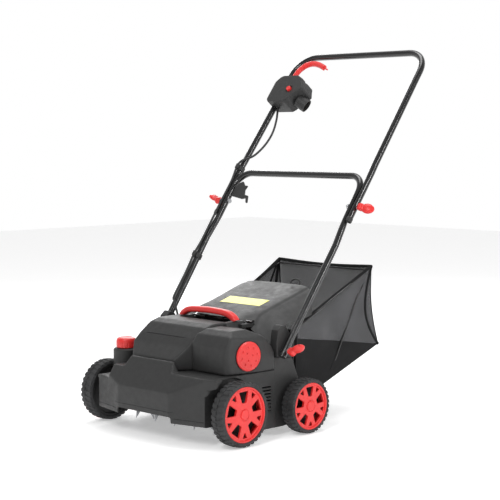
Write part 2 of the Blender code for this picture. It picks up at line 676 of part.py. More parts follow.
def add_bolts(name, place, nut_in, nut_out, head):
    """A bolt through each side: a nut on the inside and a washer outside."""
    profile = [(0.0, nut_in), (0.0070, nut_in), (0.0070, nut_out), (BOLT_R, nut_out),
               (BOLT_R, head - 0.0012), (0.0075, head - 0.0012), (0.0075, head), (0.0, head)]
    for side, sign in (("left", -1), ("right", 1)):
        bolt = turned(profile, (0.0, *place), (sign, 0.0, 0.0), 12)
        add_node(name + "_bolt_" + side, bolt, name + "_handle", "steel")


def build_cord_hook():
    points = [(-0.2370, 0.618), (-0.2370, 0.640), (-0.2300, 0.653), (-0.2160, 0.6605),
              (-0.200, 0.648), (-0.190, 0.6485), (-0.1935, 0.637), (-0.185, 0.622), (-0.169, 0.620),
              (-0.160, 0.602), (-0.1645, 0.600), (-0.174, 0.614), (-0.190, 0.611)]
    outline = [(x, (z - LOWER_PIVOT[1]) / LEG_DIR.z) for x, z in points]
    front = Vector((0.0, -LEG_DIR.z, LEG_DIR.y))
    shape = prism(outline, "Z", -0.003, 0.003)
    frame = Matrix((Vector((1.0, 0.0, 0.0)), LEG_DIR, front)).transposed().to_4x4()
    place = Matrix.Translation((0.0, *LOWER_PIVOT)) @ frame
    bmesh.ops.transform(shape, matrix=place, verts=shape.verts)
    add_node("cord_hook", shape, "lower_handle", "black plastic")


# ---- upper handle ----
def build_upper_handle():
    legs = [(0.2625, 0.5650), (0.2625, 0.588), (0.2625, 0.655), (0.2585, 0.720), (0.2545, 0.960)]
    path = handle_path(legs, TOP_BAR, bar_at, 0.072, 7)
    squeeze = joint_squeeze(0.540, 0.690, 0.030)
    tube = swept(path, TUBE_R, 10, bore=TUBE_BORE_R, flatten=squeeze)
    holes = [rod(BOLT_R + GAP, (sign * 0.20, *UPPER_PIVOT), (sign * 0.30, *UPPER_PIVOT), 8)
             for sign in (-1, 1)]
    add_node("upper_handle_tube", combine_all(tube, holes), "upper_handle", "black tube")
    add_bolts("upper", UPPER_PIVOT, 0.2335, 0.2398, 0.2712)


def in_box(shape):
    """Move a shape drawn as (across, up the handle, out of its front) to the switch box."""
    frame = Matrix((Vector((1.0, 0.0, 0.0)), BAR_DIR, BAR_FRONT)).transposed().to_4x4()
    bmesh.ops.transform(shape, matrix=Matrix.Translation(BOX_AT) @ frame, verts=shape.verts)
    return shape


def box_point(across, up, out):
    return BOX_AT + Vector((across, 0.0, 0.0)) + BAR_DIR * up + BAR_FRONT * out


INLET_AT = Vector((-0.1720, -0.0210, -0.0020))
INLET_DIR = Vector((0.79, -0.26, -0.56)).normalized()


def switch_half(low, high, rise):
    outline = [(-0.268, -0.050), (-0.272, -0.040), (-0.272, 0.036), (-0.262, 0.050), (-0.186, 0.050),
               (-0.160, 0.036), (-0.150, 0.014), (-0.1435, 0.0005), (-0.1738, -0.0269),
               (-0.182, -0.042), (-0.194, -0.050)]
    half = soften(prism(outline, "Z", low, high), 0.006, 60.0) if rise else \
        prism(outline, "Z", low, high)
    slope = (0.2545 - 0.2585) / (0.960 - 0.720) * BAR_DIR.z
    tube_x = 0.2585 + slope * ((BOX_AT.z - 0.720) / BAR_DIR.z)
    leg = rod(TUBE_R + GAP, (-tube_x + slope * 0.10, -0.10, 0.0), (-tube_x - slope * 0.10, 0.10, 0.0),
              20)
    lever_room = box((-0.250, 0.028, 0.0015), (-0.158, 0.070, 0.0175))
    inlet_room = rod(0.0215 + GAP, INLET_AT, INLET_AT + INLET_DIR * 0.06, 24)
    return combine_all(half, [leg, lever_room, inlet_room])


def build_switch_box():
    front = switch_half(GAP / 2, 0.034, True)
    press = rod(0.0085, (-0.194, -0.004, 0.016), (-0.194, -0.004, 0.05), 16)
    cable_way = rod(CABLE_R + GAP, (-0.236, -0.07, 0.0), (-0.236, -0.040, 0.0), 10)
    front = combine_all(front, [press, cable_way])
    add_node("switch_box_front", in_box(front), "upper_handle", "black plastic")
    cable_way = rod(CABLE_R + GAP, (-0.236, -0.07, 0.0), (-0.236, -0.040, 0.0), 10)
    back = combine(switch_half(-0.024, -GAP / 2, False), cable_way)
    add_node("switch_box_back", in_box(back), "upper_handle", "black plastic")
    shroud = [(0.0, GAP), (0.0205, GAP), (0.0210, 0.010), (0.0210, 0.034), (0.0180, 0.034),
              (0.0180, 0.006), (0.0, 0.006)]
    add_node("plug_inlet", in_box(turned(shroud, INLET_AT, INLET_DIR, 20)), "upper_handle",
             "black plastic")
    base = INLET_AT + INLET_DIR * (0.006 + GAP)
    pins = rod(0.012, base, base + INLET_DIR * 0.002, 12)
    across = INLET_DIR.cross(Vector((0.0, 1.0, 0.0))).normalized()
    for offset in (-0.0065, 0.0065):
        foot = base + across * offset + INLET_DIR * 0.001
        pins = combine(pins, rod(0.002, foot, foot + INLET_DIR * 0.018, 8), "UNION")
    add_node("inlet_pins", in_box(pins), "upper_handle", "brass")
    button = [(0.0, 0.0240), (0.0078, 0.0240), (0.0078, 0.0385), (0.0066, 0.0405), (0.0, 0.0410)]
    shape = turned(button, (-0.194, -0.004, 0.0), (0.0, 0.0, 1.0), 16)
    add_node("lock_button", in_box(shape), "lock_button", "red plastic")


BAIL_PIVOT = (-0.228, 0.040, 0.0095)


def build_bail_lever():
    points = [(-0.2280, 0.040), (-0.2275, 0.064), (-0.2210, 0.0900), (-0.2035, 0.1090),
              (-0.181, 0.1150), (-0.152, 0.1100), (-0.120, 0.0960)]
    route = curve_through([(across, up, 0.0095) for across, up in points], 0.009)
    section = [(-0.0065, -0.0065), (0.0065, -0.0065), (0.0082, -0.0035), (0.0082, 0.0035),
               (0.0065, 0.0065), (-0.0065, 0.0065), (-0.0082, 0.0035), (-0.0082, -0.0035)]
    shape = swept(route, 1.0, section=section)
    pin = rod(0.0022, (-0.1203, 0.0962, 0.0095), (-0.1035, 0.0875, 0.0095), 8)
    shape = combine(shape, pin, "UNION")
    add_node("bail_lever", in_box(shape), "bail_lever", "red plastic")


# ---- quick-release levers ----
def lever_axes(sign, swing, tilt):
    """Length and pin directions of a cam lever: swing from straight out, pin tilt round X."""
    pin = Vector((0.0, sin(tilt), cos(tilt)))
    away = Vector((0.0, cos(tilt), -sin(tilt)))
    along = Vector((sign * cos(swing), 0.0, 0.0)) + away * sin(swing)
    return along, pin


def build_lever(name, body, place, sign, swing, tilt):
    along, pin = lever_axes(sign, radians(swing), radians(tilt))
    leaf = [(0.0, -0.0090), (0.011, -0.0135), (0.022, -0.0150), (0.032, -0.0115), (0.0395, -0.004),
            (0.0400, 0.003), (0.032, 0.0115), (0.022, 0.0150), (0.011, 0.0135), (0.0, 0.0090)]
    paddle = soften(prism(leaf, "Z", -0.004, 0.004), 0.0015, 50.0)
    head = rod(0.0102, (0.0, -0.0090, 0.0), (0.0, 0.0090, 0.0), 16)
    shape = combine(paddle, head, "UNION")
    shape = combine(shape, rod(0.0032, (0.028, 0.0, -0.02), (0.028, 0.0, 0.02), 10))
    frame = Matrix((along, pin, along.cross(pin))).transposed().to_4x4()
    bmesh.ops.transform(shape, matrix=Matrix.Translation(place) @ frame, verts=shape.verts)
    add_node(name, shape, body, "red plastic")


# ---- flap and bag ----
def build_flap():
    rows = [[(0.198, 0.1705, 0.2400), (0.140, 0.1705, 0.2740), (0.090, 0.1705, 0.3010),
             (0.0, 0.1705, 0.3020)],
            [(0.198, 0.235, 0.2890), (0.150, 0.235, 0.3080), (0.100, 0.235, 0.3210),
             (0.0, 0.235, 0.3225)],
            [(0.198, 0.300, 0.3000), (0.150, 0.310, 0.3310), (0.104, 0.320, 0.3460),
             (0.0, 0.325, 0.3490)],
            [(0.198, 0.345, 0.3120), (0.150, 0.398, 0.3600), (0.106, 0.415, 0.3740),
             (0.0, 0.418, 0.3765)]]
    shape = bmesh.new()
    thick = 0.003
    layers = []
    for drop in (0.0, thick):
        grid = []
        for row in rows:
            full = row + [(-x, y, z) for x, y, z in reversed(row[:-1])]
            line = []
            for x, y, z in full:
                lean = max(0.0, min(1.0, (abs(x) - 0.10) / 0.08))
                inward = drop * 0.35 * lean * (1 if x > 0 else -1)
                line.append(shape.verts.new((x - inward, y, z - drop * (1.0 + 0.1 * lean))))
            grid.append(line)
        layers.append(grid)
    top, under = layers
    for grid in layers:
        for i in range(len(grid) - 1):
            for j in range(len(grid[0]) - 1):
                shape.faces.new((grid[i][j], grid[i][j + 1], grid[i + 1][j + 1], grid[i + 1][j]))
    last = len(top[0]) - 1
    for i in range(len(top) - 1):
        for j in (0, last):
            shape.faces.new((top[i][j], top[i + 1][j], under[i + 1][j], under[i][j]))
    for j in range(last):
        for i in (0, len(top) - 1):
            shape.faces.new((top[i][j], top[i][j + 1], under[i][j + 1], under[i][j]))
    bmesh.ops.recalc_face_normals(shape, faces=shape.faces)
    knuckles = [rod(0.0062, (x, *FLAP_PIN), (x + 0.020, *FLAP_PIN), 12)
                for x in (-0.070, 0.0, 0.050)]
    shape = combine_all(shape, knuckles, "UNION")
    notches = [box((x - 0.009, 0.160, 0.200), (x + 0.009, 0.1870, 0.350)) for x in LUG_X]
    bore = rod(FLAP_PIN_R + GAP, (-0.15, *FLAP_PIN), (0.15, *FLAP_PIN), 12)
    add_node("flap", combine_all(shape, notches + [bore]), "flap", "black plastic")
    pin = rod(FLAP_PIN_R, (LUG_X[0] - 0.008, *FLAP_PIN), (LUG_X[1] + 0.008, *FLAP_PIN), 12)
    add_node("flap_pin", pin, "deck", "steel")


def flap_top(y):
    """Height of the flap's flat top over its middle stretch."""
    return 0.3210 + (y - 0.235) * (0.3460 - 0.3210) / (0.320 - 0.235)


def build_flap_trim():
    slope = Vector((0.0, 0.085, 0.0250)).normalized()
    up = Vector((0.0, -slope.z, slope.y))
    middle = Vector((0.004, 0.276, flap_top(0.276) + 0.0021))
    low = prism([(-0.078, -0.022), (0.078, -0.022), (0.078, 0.022), (-0.078, 0.022)], "Z", 0.0, 0.0006)
    frame = Matrix((Vector((1.0, 0.0, 0.0)), slope, up)).transposed().to_4x4()
    bmesh.ops.transform(low, matrix=Matrix.Translation(middle) @ frame, verts=low.verts)
    add_node("flap_label", low, "flap", "yellow label")
    route = curve_through([(0.058, 0.408, 0.3778), (0.062, 0.410, 0.388), (0.078, 0.412, 0.3925),
                           (0.092, 0.410, 0.387), (0.095, 0.408, 0.3765)], 0.005)
    add_node("flap_grip", swept(route, 0.0024, 8), "flap", "black plastic")


BAG_SIDE = [(0.286, 0.056), (0.648, 0.192), (0.616, 0.423), (0.300, 0.2765), (0.286, 0.262)]


def build_bag():
    shell = prism(BAG_SIDE, "X", -BAG_HALF, BAG_HALF)
    room = [(0.25, 0.0452), (0.6453, 0.1937), (0.6028, 0.50), (0.25, 0.50)]
    inside = BAG_HALF - BAG_WALL
    add_node("grass_bag", combine(shell, prism(room, "X", -inside, inside)), "bag", "dark fabric")
    wire, x = 0.0028, inside - 0.0034
    loop = [(-x, 0.2915, 0.066), (-x, 0.2915, 0.258), (-x, 0.305, 0.2705), (-x, 0.6075, 0.4115),
            (x, 0.6075, 0.4115), (x, 0.305, 0.2705), (x, 0.2915, 0.258), (x, 0.2915, 0.066)]
    closed = rounded([(0.0, 0.2915, 0.066)] + loop + [(0.0, 0.2915, 0.066)], 0.010, 2)[:-1]
    braces = [rod(wire, (sign * x, 0.5990, 0.4080), (sign * x, 0.442, 0.124), 8)
              for sign in (-1, 1)]
    frame = combine_all(swept(closed, wire, 8, closed=True), braces, "UNION")
    add_node("bag_frame", frame, "bag", "black tube")


# ---- handle brackets, lead and its holders ----
def build_brackets():
    outline = [(0.1670, 0.2128), (0.2280, 0.2053), (0.2310, 0.225), (0.222, 0.262), (0.205, 0.289),
               (0.187, 0.296), (0.171, 0.283), (0.1655, 0.250)]
    for side, sign in (("left", -1), ("right", 1)):
        low, high = sorted((sign * 0.2100, sign * 0.2365))
        shape = soften(prism(outline, "X", low, high), 0.002, 60.0)
        hole = rod(BOLT_R + GAP, (sign * 0.20, *LOWER_PIVOT), (sign * 0.24, *LOWER_PIVOT), 12)
        add_node("handle_bracket_" + side, combine(shape, hole), "deck", "black plastic")


def clip_shape(x, centre, direction, front):
    """A moulded clip round a handle tube, with a small eye for the lead."""
    place = Vector((x, *centre))
    half = 0.007
    ring = rod(TUBE_R + 0.0030, place - direction * half, place + direction * half, 20)
    eye_at = place + front * LEAD_OFF
    eye = rod(CABLE_R + 0.0028, eye_at - direction * half, eye_at + direction * half, 12)
    shape = combine(ring, eye, "UNION")
    bores = [rod(TUBE_R + GAP, place - direction * 0.02, place + direction * 0.02, 24),
             rod(CABLE_R + 0.0008, eye_at - direction * 0.02, eye_at + direction * 0.02, 14)]
    return combine_all(shape, bores)


LEAD_OFF = TUBE_R + 0.0030 + CABLE_R + 0.0012
LEG_FRONT = Vector((0.0, -LEG_DIR.z, LEG_DIR.y))


def on_leg(x, z, out):
    return Vector((x, leg_at(z), z)) + LEG_FRONT * out


def on_bar(x, z, out):
    return Vector((x, bar_at(z), z)) + BAR_FRONT * out


CLIP_UPPER = (-0.2600, 0.6960)      # (x, z) of the tube centre in each clip
CLIP_LOWER = (-0.2535, 0.4420)
NEAR = TUBE_R + CABLE_R + 0.0008    # the lead where it lies along a tube
LEAD_SPLITS = (0.6660, 0.5400, 0.3150)


def build_lead():
    upper_x, lower_x = CLIP_UPPER[0], CLIP_LOWER[0]
    add_node("cable_clip_upper",
             clip_shape(upper_x, (bar_at(CLIP_UPPER[1]), CLIP_UPPER[1]), BAR_DIR, BAR_FRONT),
             "upper_handle", "black plastic")
    add_node("cable_clip_lower",
             clip_shape(lower_x, (leg_at(CLIP_LOWER[1]), CLIP_LOWER[1]), LEG_DIR, LEG_FRONT),
             "lower_handle", "black plastic")
    end = Vector((-0.2340, 0.2270, 0.3150))
    fall = Vector((0.50, -0.25, -0.83)).normalized()
    gland = Vector((-0.2040, 0.2150, 0.2077))
    points = [box_point(-0.236, -0.0415, 0.0), box_point(-0.236, -0.058, 0.0),
              box_point(-0.218, -0.100, 0.0), box_point(-0.206, -0.150, 0.0),
              box_point(-0.209, -0.198, 0.002), box_point(-0.227, -0.240, 0.006),
              on_bar(-0.2510, 0.718, 0.0140), on_bar(upper_x, CLIP_UPPER[1] + 0.009, LEAD_OFF),
              on_bar(upper_x, CLIP_UPPER[1] - 0.009, LEAD_OFF), on_bar(-0.2565, 0.655, NEAR),
              on_leg(-0.2535, UPPER_PIVOT[1] - LEG_FRONT.z * NEAR, NEAR + 0.0010),
              on_leg(-0.2545, 0.545, NEAR), on_leg(lower_x, CLIP_LOWER[1] + 0.040, NEAR + 0.0004),
              on_leg(lower_x, CLIP_LOWER[1] + 0.009, LEAD_OFF),
              on_leg(lower_x, CLIP_LOWER[1] - 0.009, LEAD_OFF),
              on_leg(-0.2512, 0.385, NEAR + 0.0020), end - fall * 0.020, end - fall * 0.008, end,
              end + fall * 0.010, gland + Vector((-0.0020, 0.0, 0.064)),
              gland + Vector((0.0, 0.0, 0.040)), gland + Vector((0.0, 0.0, 0.016))]
    rest = curve_through(points, CABLE_R * 5)
    stretches = []
    for height in LEAD_SPLITS:
        above, rest = split_route(rest, height)
        stretches.append(above)
    stretches.append(rest)
    names = (("cable_upper", "upper_handle"), ("cable_bend", "lower_handle"),
             ("cable_lower", "lower_handle"), ("cable_tail", "deck"))
    for (name, body), route in zip(names, stretches):
        add_cable(name, route, body)
    profile = [(0.0, 0.0), (0.0055, 0.0), (0.0055, 0.010), (0.0045, 0.016 - GAP),
               (0.0, 0.016 - GAP)]
    add_node("cable_gland", turned(profile, gland, (0.0, 0.0, 1.0), 14), "deck", "rubber")


# ---- assembly ----
def head_place(sign, x, pivot):
    return Vector((sign * x, *pivot))


LEVERS = (
    ("quick_lever_lower_left", "lower_handle", -1, 0.2735, LOWER_PIVOT, 34.0, -58.0),
    ("quick_lever_lower_right", "lower_handle", 1, 0.2735, LOWER_PIVOT, 34.0, -58.0),
    ("quick_lever_upper_left", "upper_handle", -1, 0.2820, UPPER_PIVOT, 22.0, -90.0),
    ("quick_lever_upper_right", "upper_handle", 1, 0.2820, UPPER_PIVOT, 22.0, 30.0),
)


def build_bodies():
    add_body("deck", None, (0.0, 0.0, 0.0))
    add_body("front_axle", "deck", (0.0, *SWING))
    for side, sign in (("left", -1), ("right", 1)):
        middle = sign * (WHEEL_IN + WHEEL_OUT) / 2
        add_body("front_" + side + "_wheel", "front_axle", (middle, 0.0, FRONT_WHEEL_R))
        add_body("rear_" + side + "_wheel", "deck", (middle, REAR_AXLE_Y, REAR_WHEEL_R))
    add_body("rotor", "deck", (0.0, *ROTOR))
    add_body("armature", "deck", (0.0, *MOTOR))
    add_body("depth_knob", "deck", (-0.200, 0.012, 0.206))
    add_body("lower_handle", "deck", (0.0, *LOWER_PIVOT))
    add_body("upper_handle", "lower_handle", (0.0, *UPPER_PIVOT))
    add_body("flap", "deck", (0.0, *FLAP_PIN))
    add_body("bag", "deck", (0.0, 0.286, 0.262))
    add_body("bail_lever", "upper_handle", box_point(*BAIL_PIVOT))
    add_body("lock_button", "upper_handle", box_point(-0.194, -0.004, 0.034))
    for name, parent, sign, x, pivot, _, _ in LEVERS:
        add_body(name, parent, head_place(sign, x, pivot))


def main():
    clear_scene()
    build_bodies()
    build_deck_shell()
    build_top_cover()
    build_belt_cover()
    build_belt_cover_cap()
    build_carry_handle()
    build_motor()
    build_belt_drive()
    build_rotor()
    for side, sign in (("left", -1), ("right", 1)):
        name = "front_" + side + "_wheel"
        build_wheel(name, name, sign, 0.0, FRONT_WHEEL_R, FRONT_WHEEL_R)
        name = "rear_" + side + "_wheel"
        build_wheel(name, name, sign, REAR_AXLE_Y, REAR_WHEEL_R, REAR_WHEEL_R)
    build_axles()
    build_depth_knob()
    build_lower_handle()
    build_cord_hook()
    build_upper_handle()
    build_switch_box()
    build_bail_lever()
    for name, _, sign, x, pivot, swing, tilt in LEVERS:
        build_lever(name, name, head_place(sign, x, pivot), sign, swing, tilt)
    build_flap()
    build_flap_trim()
    build_bag()
    build_brackets()
    build_lead()


main()
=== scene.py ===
"""Fine shapes and finishes of an electric lawn dethatcher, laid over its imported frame."""
import json
from math import cos, pi, radians, sin

import bmesh
import bpy
from bpy.props import FloatProperty, FloatVectorProperty, IntProperty, PointerProperty
from mathutils import Matrix, Vector


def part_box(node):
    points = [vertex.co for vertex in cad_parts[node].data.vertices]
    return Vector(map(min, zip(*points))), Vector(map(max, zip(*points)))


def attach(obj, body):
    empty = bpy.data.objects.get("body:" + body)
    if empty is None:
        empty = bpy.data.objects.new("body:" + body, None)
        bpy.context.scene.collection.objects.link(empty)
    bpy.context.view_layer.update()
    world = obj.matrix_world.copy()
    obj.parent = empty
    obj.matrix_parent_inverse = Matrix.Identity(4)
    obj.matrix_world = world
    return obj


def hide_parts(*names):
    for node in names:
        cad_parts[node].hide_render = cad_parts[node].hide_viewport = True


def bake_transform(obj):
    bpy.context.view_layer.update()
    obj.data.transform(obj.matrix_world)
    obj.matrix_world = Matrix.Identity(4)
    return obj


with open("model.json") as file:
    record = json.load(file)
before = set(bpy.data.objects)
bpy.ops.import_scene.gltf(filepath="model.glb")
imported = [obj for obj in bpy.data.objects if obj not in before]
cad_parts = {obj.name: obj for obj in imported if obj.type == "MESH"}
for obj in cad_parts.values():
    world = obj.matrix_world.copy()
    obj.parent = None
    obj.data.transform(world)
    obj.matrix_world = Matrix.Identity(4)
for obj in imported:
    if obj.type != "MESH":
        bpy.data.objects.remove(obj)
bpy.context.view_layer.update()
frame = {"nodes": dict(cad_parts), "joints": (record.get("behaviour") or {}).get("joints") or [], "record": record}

bl_info = {
    "name": "Lawn dethatcher",
    "version": (1, 0, 0),
    "blender": (4, 5, 0),
    "location": "3D View > Sidebar > Dethatcher",
    "description": "Builds the surfaces of an electric lawn dethatcher over its frame",
    "category": "Object",
}

SIDES = (("left", -1), ("right", 1))


def joint_place(name):
    """Where a hinge's axis runs, from the frame."""
    for joint in frame["joints"]:
        if joint["name"] == name:
            return Vector(joint["pos_m"])
    raise ValueError("the frame has no joint " + name)


def joint_axis(name):
    for joint in frame["joints"]:
        if joint["name"] == name:
            return Vector(joint["axis"]).normalized()
    raise ValueError("the frame has no joint " + name)


AXLE_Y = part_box("front_left_wheel_tyre")[0].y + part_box("front_left_wheel_tyre")[1].y
AXLE_Y = AXLE_Y / 2                       # front axle, which the shapes below count y from
LOWER_PIVOT = joint_place("lower_handle_fold")
UPPER_PIVOT = joint_place("upper_handle_fold")
CROSSBAR = Vector((0.0, 0.511 + AXLE_Y, 0.686))
TOP_BAR = Vector((0.0, 0.7856 + AXLE_Y, 1.0414))
LEG_DIR = (CROSSBAR - LOWER_PIVOT).normalized()
BAR_DIR = (TOP_BAR - UPPER_PIVOT).normalized()
LEG_FRONT = Vector((0.0, -LEG_DIR.z, LEG_DIR.y))
BAR_FRONT = Vector((0.0, -BAR_DIR.z, BAR_DIR.y))
BOX_AT = UPPER_PIVOT + BAR_DIR * 0.4050
TUBE_R = 0.0095


# ---- settings ----
class DethatcherSizes(bpy.types.PropertyGroup):
    """Fine sizes that the frame leaves open."""

    tread_depth: FloatProperty(name="Tread depth", description="Height of the tyre blocks",
                               default=0.0022, min=0.0, unit="LENGTH")
    tread_blocks: IntProperty(name="Tread blocks", description="Blocks in each row of a tyre",
                              default=34, min=8)
    moulded_edge: FloatProperty(name="Moulded edge", description="Radius on moulded edges",
                                default=0.0022, min=0.0, unit="LENGTH")
    lead_diameter: FloatProperty(name="Lead", description="Diameter of the supply lead",
                                 default=0.0066, min=0.001, unit="LENGTH")
    bag_sag: FloatProperty(name="Bag sag", description="How far the bag's walls hang in or out",
                           default=0.007, min=0.0, unit="LENGTH")


def colour_property(name, description, default):
    return FloatVectorProperty(name=name, description=description, default=default, size=3,
                               min=0.0, max=1.0, subtype="COLOR")


class DethatcherColours(bpy.types.PropertyGroup):
    """Base colours of the finishes."""

    black_plastic: colour_property("Black plastic", "Housings", (0.026, 0.026, 0.026))
    red_plastic: colour_property("Red plastic", "Rims, levers and handles", (0.72, 0.030, 0.028))
    tyre: colour_property("Tyre", "Tread rubber", (0.024, 0.024, 0.025))
    tube_paint: colour_property("Tube paint", "Powder coat of the handles", (0.007, 0.007, 0.0075))
    steel: colour_property("Steel", "Zinc-plated steel", (0.56, 0.57, 0.59))
    rubber: colour_property("Rubber", "Lead and belt", (0.018, 0.018, 0.019))
    fabric: colour_property("Fabric", "Closed fabric of the bag", (0.007, 0.007, 0.0075))
    netting: colour_property("Netting", "Mesh panels of the bag", (0.058, 0.058, 0.062))
    sticker: colour_property("Sticker", "Blank sticker on the flap", (0.90, 0.86, 0.10))
    patch: colour_property("Patch", "Plain panel on the bag", (0.90, 0.16, 0.06))
    floor: colour_property("Floor", "Studio floor", (0.95, 0.95, 0.95))


def sizes():
    return bpy.context.scene.dethatcher_sizes


def colours():
    return bpy.context.scene.dethatcher_colours


# ---- finishes ----
def finish_base(name):
    """A material with its tree, its shader and a point on the piece."""
    material = bpy.data.materials.new(name)
    material.use_nodes = True
    tree = material.node_tree
    shader = tree.nodes["Principled BSDF"]
    coords = tree.nodes.new("ShaderNodeTexCoord")
    return material, tree, shader, coords.outputs["Object"]


def noise(tree, point, scale, detail=3.0, stretch=None):
    """Noise over the piece, stretched along an axis where a grain runs."""
    if stretch:
        mapping = tree.nodes.new("ShaderNodeMapping")
        mapping.inputs["Scale"].default_value = stretch
        tree.links.new(point, mapping.inputs["Vector"])
        point = mapping.outputs["Vector"]
    node = tree.nodes.new("ShaderNodeTexNoise")
    node.inputs["Scale"].default_value = scale
    node.inputs["Detail"].default_value = detail
    tree.links.new(point, node.inputs["Vector"])
    return node.outputs["Fac"]


def spread(tree, value, low, high, start=0.3, end=0.7):
    """A 0 to 1 value mapped to a range."""
    node = tree.nodes.new("ShaderNodeMapRange")
    for socket, number in (("From Min", start), ("From Max", end), ("To Min", low), ("To Max", high)):
        node.inputs[socket].default_value = number
    tree.links.new(value, node.inputs["Value"])
    return node.outputs["Result"]


def tint(tree, shader, colour, value, darker, lighter):
    """Base colour that drifts between a darker and a lighter shade."""
    mix = tree.nodes.new("ShaderNodeMix")
    mix.data_type = "RGBA"
    mix.inputs["A"].default_value = (*[c * darker for c in colour], 1.0)
    mix.inputs["B"].default_value = (*[min(1.0, c * lighter) for c in colour], 1.0)
    tree.links.new(value, mix.inputs["Factor"])
    tree.links.new(mix.outputs["Result"], shader.inputs["Base Color"])
    return mix


def raise_surface(tree, shader, layers):
    """Bump layers of (height, depth in metres, strength), one on the other."""
    normal = None
    for height, depth, strength in layers:
        bump = tree.nodes.new("ShaderNodeBump")
        bump.inputs["Distance"].default_value = depth
        bump.inputs["Strength"].default_value = strength
        tree.links.new(height, bump.inputs["Height"])
        if normal:
            tree.links.new(normal, bump.inputs["Normal"])
        normal = bump.outputs["Normal"]
    tree.links.new(normal, shader.inputs["Normal"])


def moulded_plastic(name, colour, low, high, grain, coat=0.0):
    """Injection-moulded plastic with a spark-eroded grain."""
    material, tree, shader, point = finish_base(name)
    cloud = noise(tree, point, 9.0, 4.0)
    fine = noise(tree, point, 1500.0, 2.0)
    tint(tree, shader, colour, spread(tree, cloud, 0.0, 1.0), 0.94, 1.07)
    shader.inputs["Specular IOR Level"].default_value = 0.38
    tree.links.new(spread(tree, noise(tree, point, 60.0, 5.0), low, high),
                   shader.inputs["Roughness"])
    shader.inputs["Coat Weight"].default_value = coat
    shader.inputs["Coat Roughness"].default_value = 0.25
    raise_surface(tree, shader, [(fine, 0.0004, grain), (noise(tree, point, 12.0), 0.0010, 0.03)])
    return material


def tyre_rubber(name, colour):
    """Dull tread rubber, a little dusty in places."""
    material, tree, shader, point = finish_base(name)
    tint(tree, shader, colour, spread(tree, noise(tree, point, 25.0, 6.0), 0.0, 1.0), 0.7, 1.7)
    tree.links.new(spread(tree, noise(tree, point, 140.0, 4.0), 0.68, 0.90),
                   shader.inputs["Roughness"])
    raise_surface(tree, shader, [(noise(tree, point, 700.0, 3.0), 0.0006, 0.30)])
    return material


def powder_coat(name, colour):
    """Black powder coat with a fine orange peel."""
    material, tree, shader, point = finish_base(name)
    tint(tree, shader, colour, spread(tree, noise(tree, point, 12.0, 4.0), 0.0, 1.0), 0.85, 1.2)
    tree.links.new(spread(tree, noise(tree, point, 90.0, 4.0), 0.16, 0.24),
                   shader.inputs["Roughness"])
    shader.inputs["Coat Weight"].default_value = 0.35
    shader.inputs["Coat Roughness"].default_value = 0.18
    raise_surface(tree, shader, [(noise(tree, point, 420.0, 2.0), 0.0003, 0.03)])
    return material


def plated_steel(name, colour, rough=0.30):
    """Zinc-plated or turned metal with a fine grain along the machine's width."""
    material, tree, shader, point = finish_base(name)
    shader.inputs["Metallic"].default_value = 1.0
    streaks = noise(tree, point, 300.0, 3.0, (0.08, 1.0, 1.0))
    tint(tree, shader, colour, spread(tree, noise(tree, point, 40.0, 5.0), 0.0, 1.0), 0.78, 1.12)
    tree.links.new(spread(tree, streaks, rough - 0.06, rough + 0.14), shader.inputs["Roughness"])
    raise_surface(tree, shader, [(streaks, 0.0003, 0.15)])
    return material


def soft_rubber(name, colour):
    """Smooth sheath of a lead or a belt."""
    material, tree, shader, point = finish_base(name)
    tint(tree, shader, colour, spread(tree, noise(tree, point, 18.0, 4.0), 0.0, 1.0), 0.8, 1.3)
    tree.links.new(spread(tree, noise(tree, point, 200.0, 3.0), 0.42, 0.58),
                   shader.inputs["Roughness"])
    raise_surface(tree, shader, [(noise(tree, point, 900.0, 2.0), 0.0003, 0.18)])
    return material


def threads(tree, axis, count):
    """Bands across the piece's own map: one wave for each thread."""
    coords = tree.nodes.new("ShaderNodeUVMap")
    coords.uv_map = "weave"
    wave = tree.nodes.new("ShaderNodeTexWave")
    wave.bands_direction = axis
    wave.inputs["Scale"].default_value = count / 3.14159
    tree.links.new(coords.outputs["UV"], wave.inputs["Vector"])
    return wave.outputs["Fac"]


def combined(tree, operation, first, second):
    node = tree.nodes.new("ShaderNodeMath")
    node.operation = operation
    for socket, value in zip(node.inputs, (first, second)):
        if isinstance(value, float):
            socket.default_value = value
        else:
            tree.links.new(value, socket)
    return node.outputs["Value"]


def woven_fabric(name, colour):
    """Closely woven bag cloth: warp and weft on the piece's own map, in metres."""
    material, tree, shader, point = finish_base(name)
    weave = combined(tree, "MAXIMUM", threads(tree, "X", 520.0), threads(tree, "Y", 520.0))
    cloud = spread(tree, noise(tree, point, 16.0, 5.0), 0.0, 1.0)
    tint(tree, shader, colour, cloud, 0.75, 1.35)
    shader.inputs["Roughness"].default_value = 0.88
    shader.inputs["Specular IOR Level"].default_value = 0.25
    shader.inputs["Sheen Weight"].default_value = 0.05
    raise_surface(tree, shader, [(noise(tree, point, 22.0, 3.0), 0.004, 0.25), (weave, 0.0004, 0.5)])
    return material


def open_netting(name, colour):
    """Mesh cloth: fine threads with open holes between them."""
    material, tree, shader, point = finish_base(name)
    net = combined(tree, "MAXIMUM", threads(tree, "X", 330.0), threads(tree, "Y", 330.0))
    tint(tree, shader, colour, spread(tree, noise(tree, point, 14.0, 4.0), 0.0, 1.0), 0.75, 1.3)
    shader.inputs["Roughness"].default_value = 0.75
    shader.inputs["Sheen Weight"].default_value = 0.30
    tree.links.new(spread(tree, net, 0.48, 0.98, 0.55, 0.90), shader.inputs["Alpha"])
    raise_surface(tree, shader, [(net, 0.0005, 0.4)])
    return material


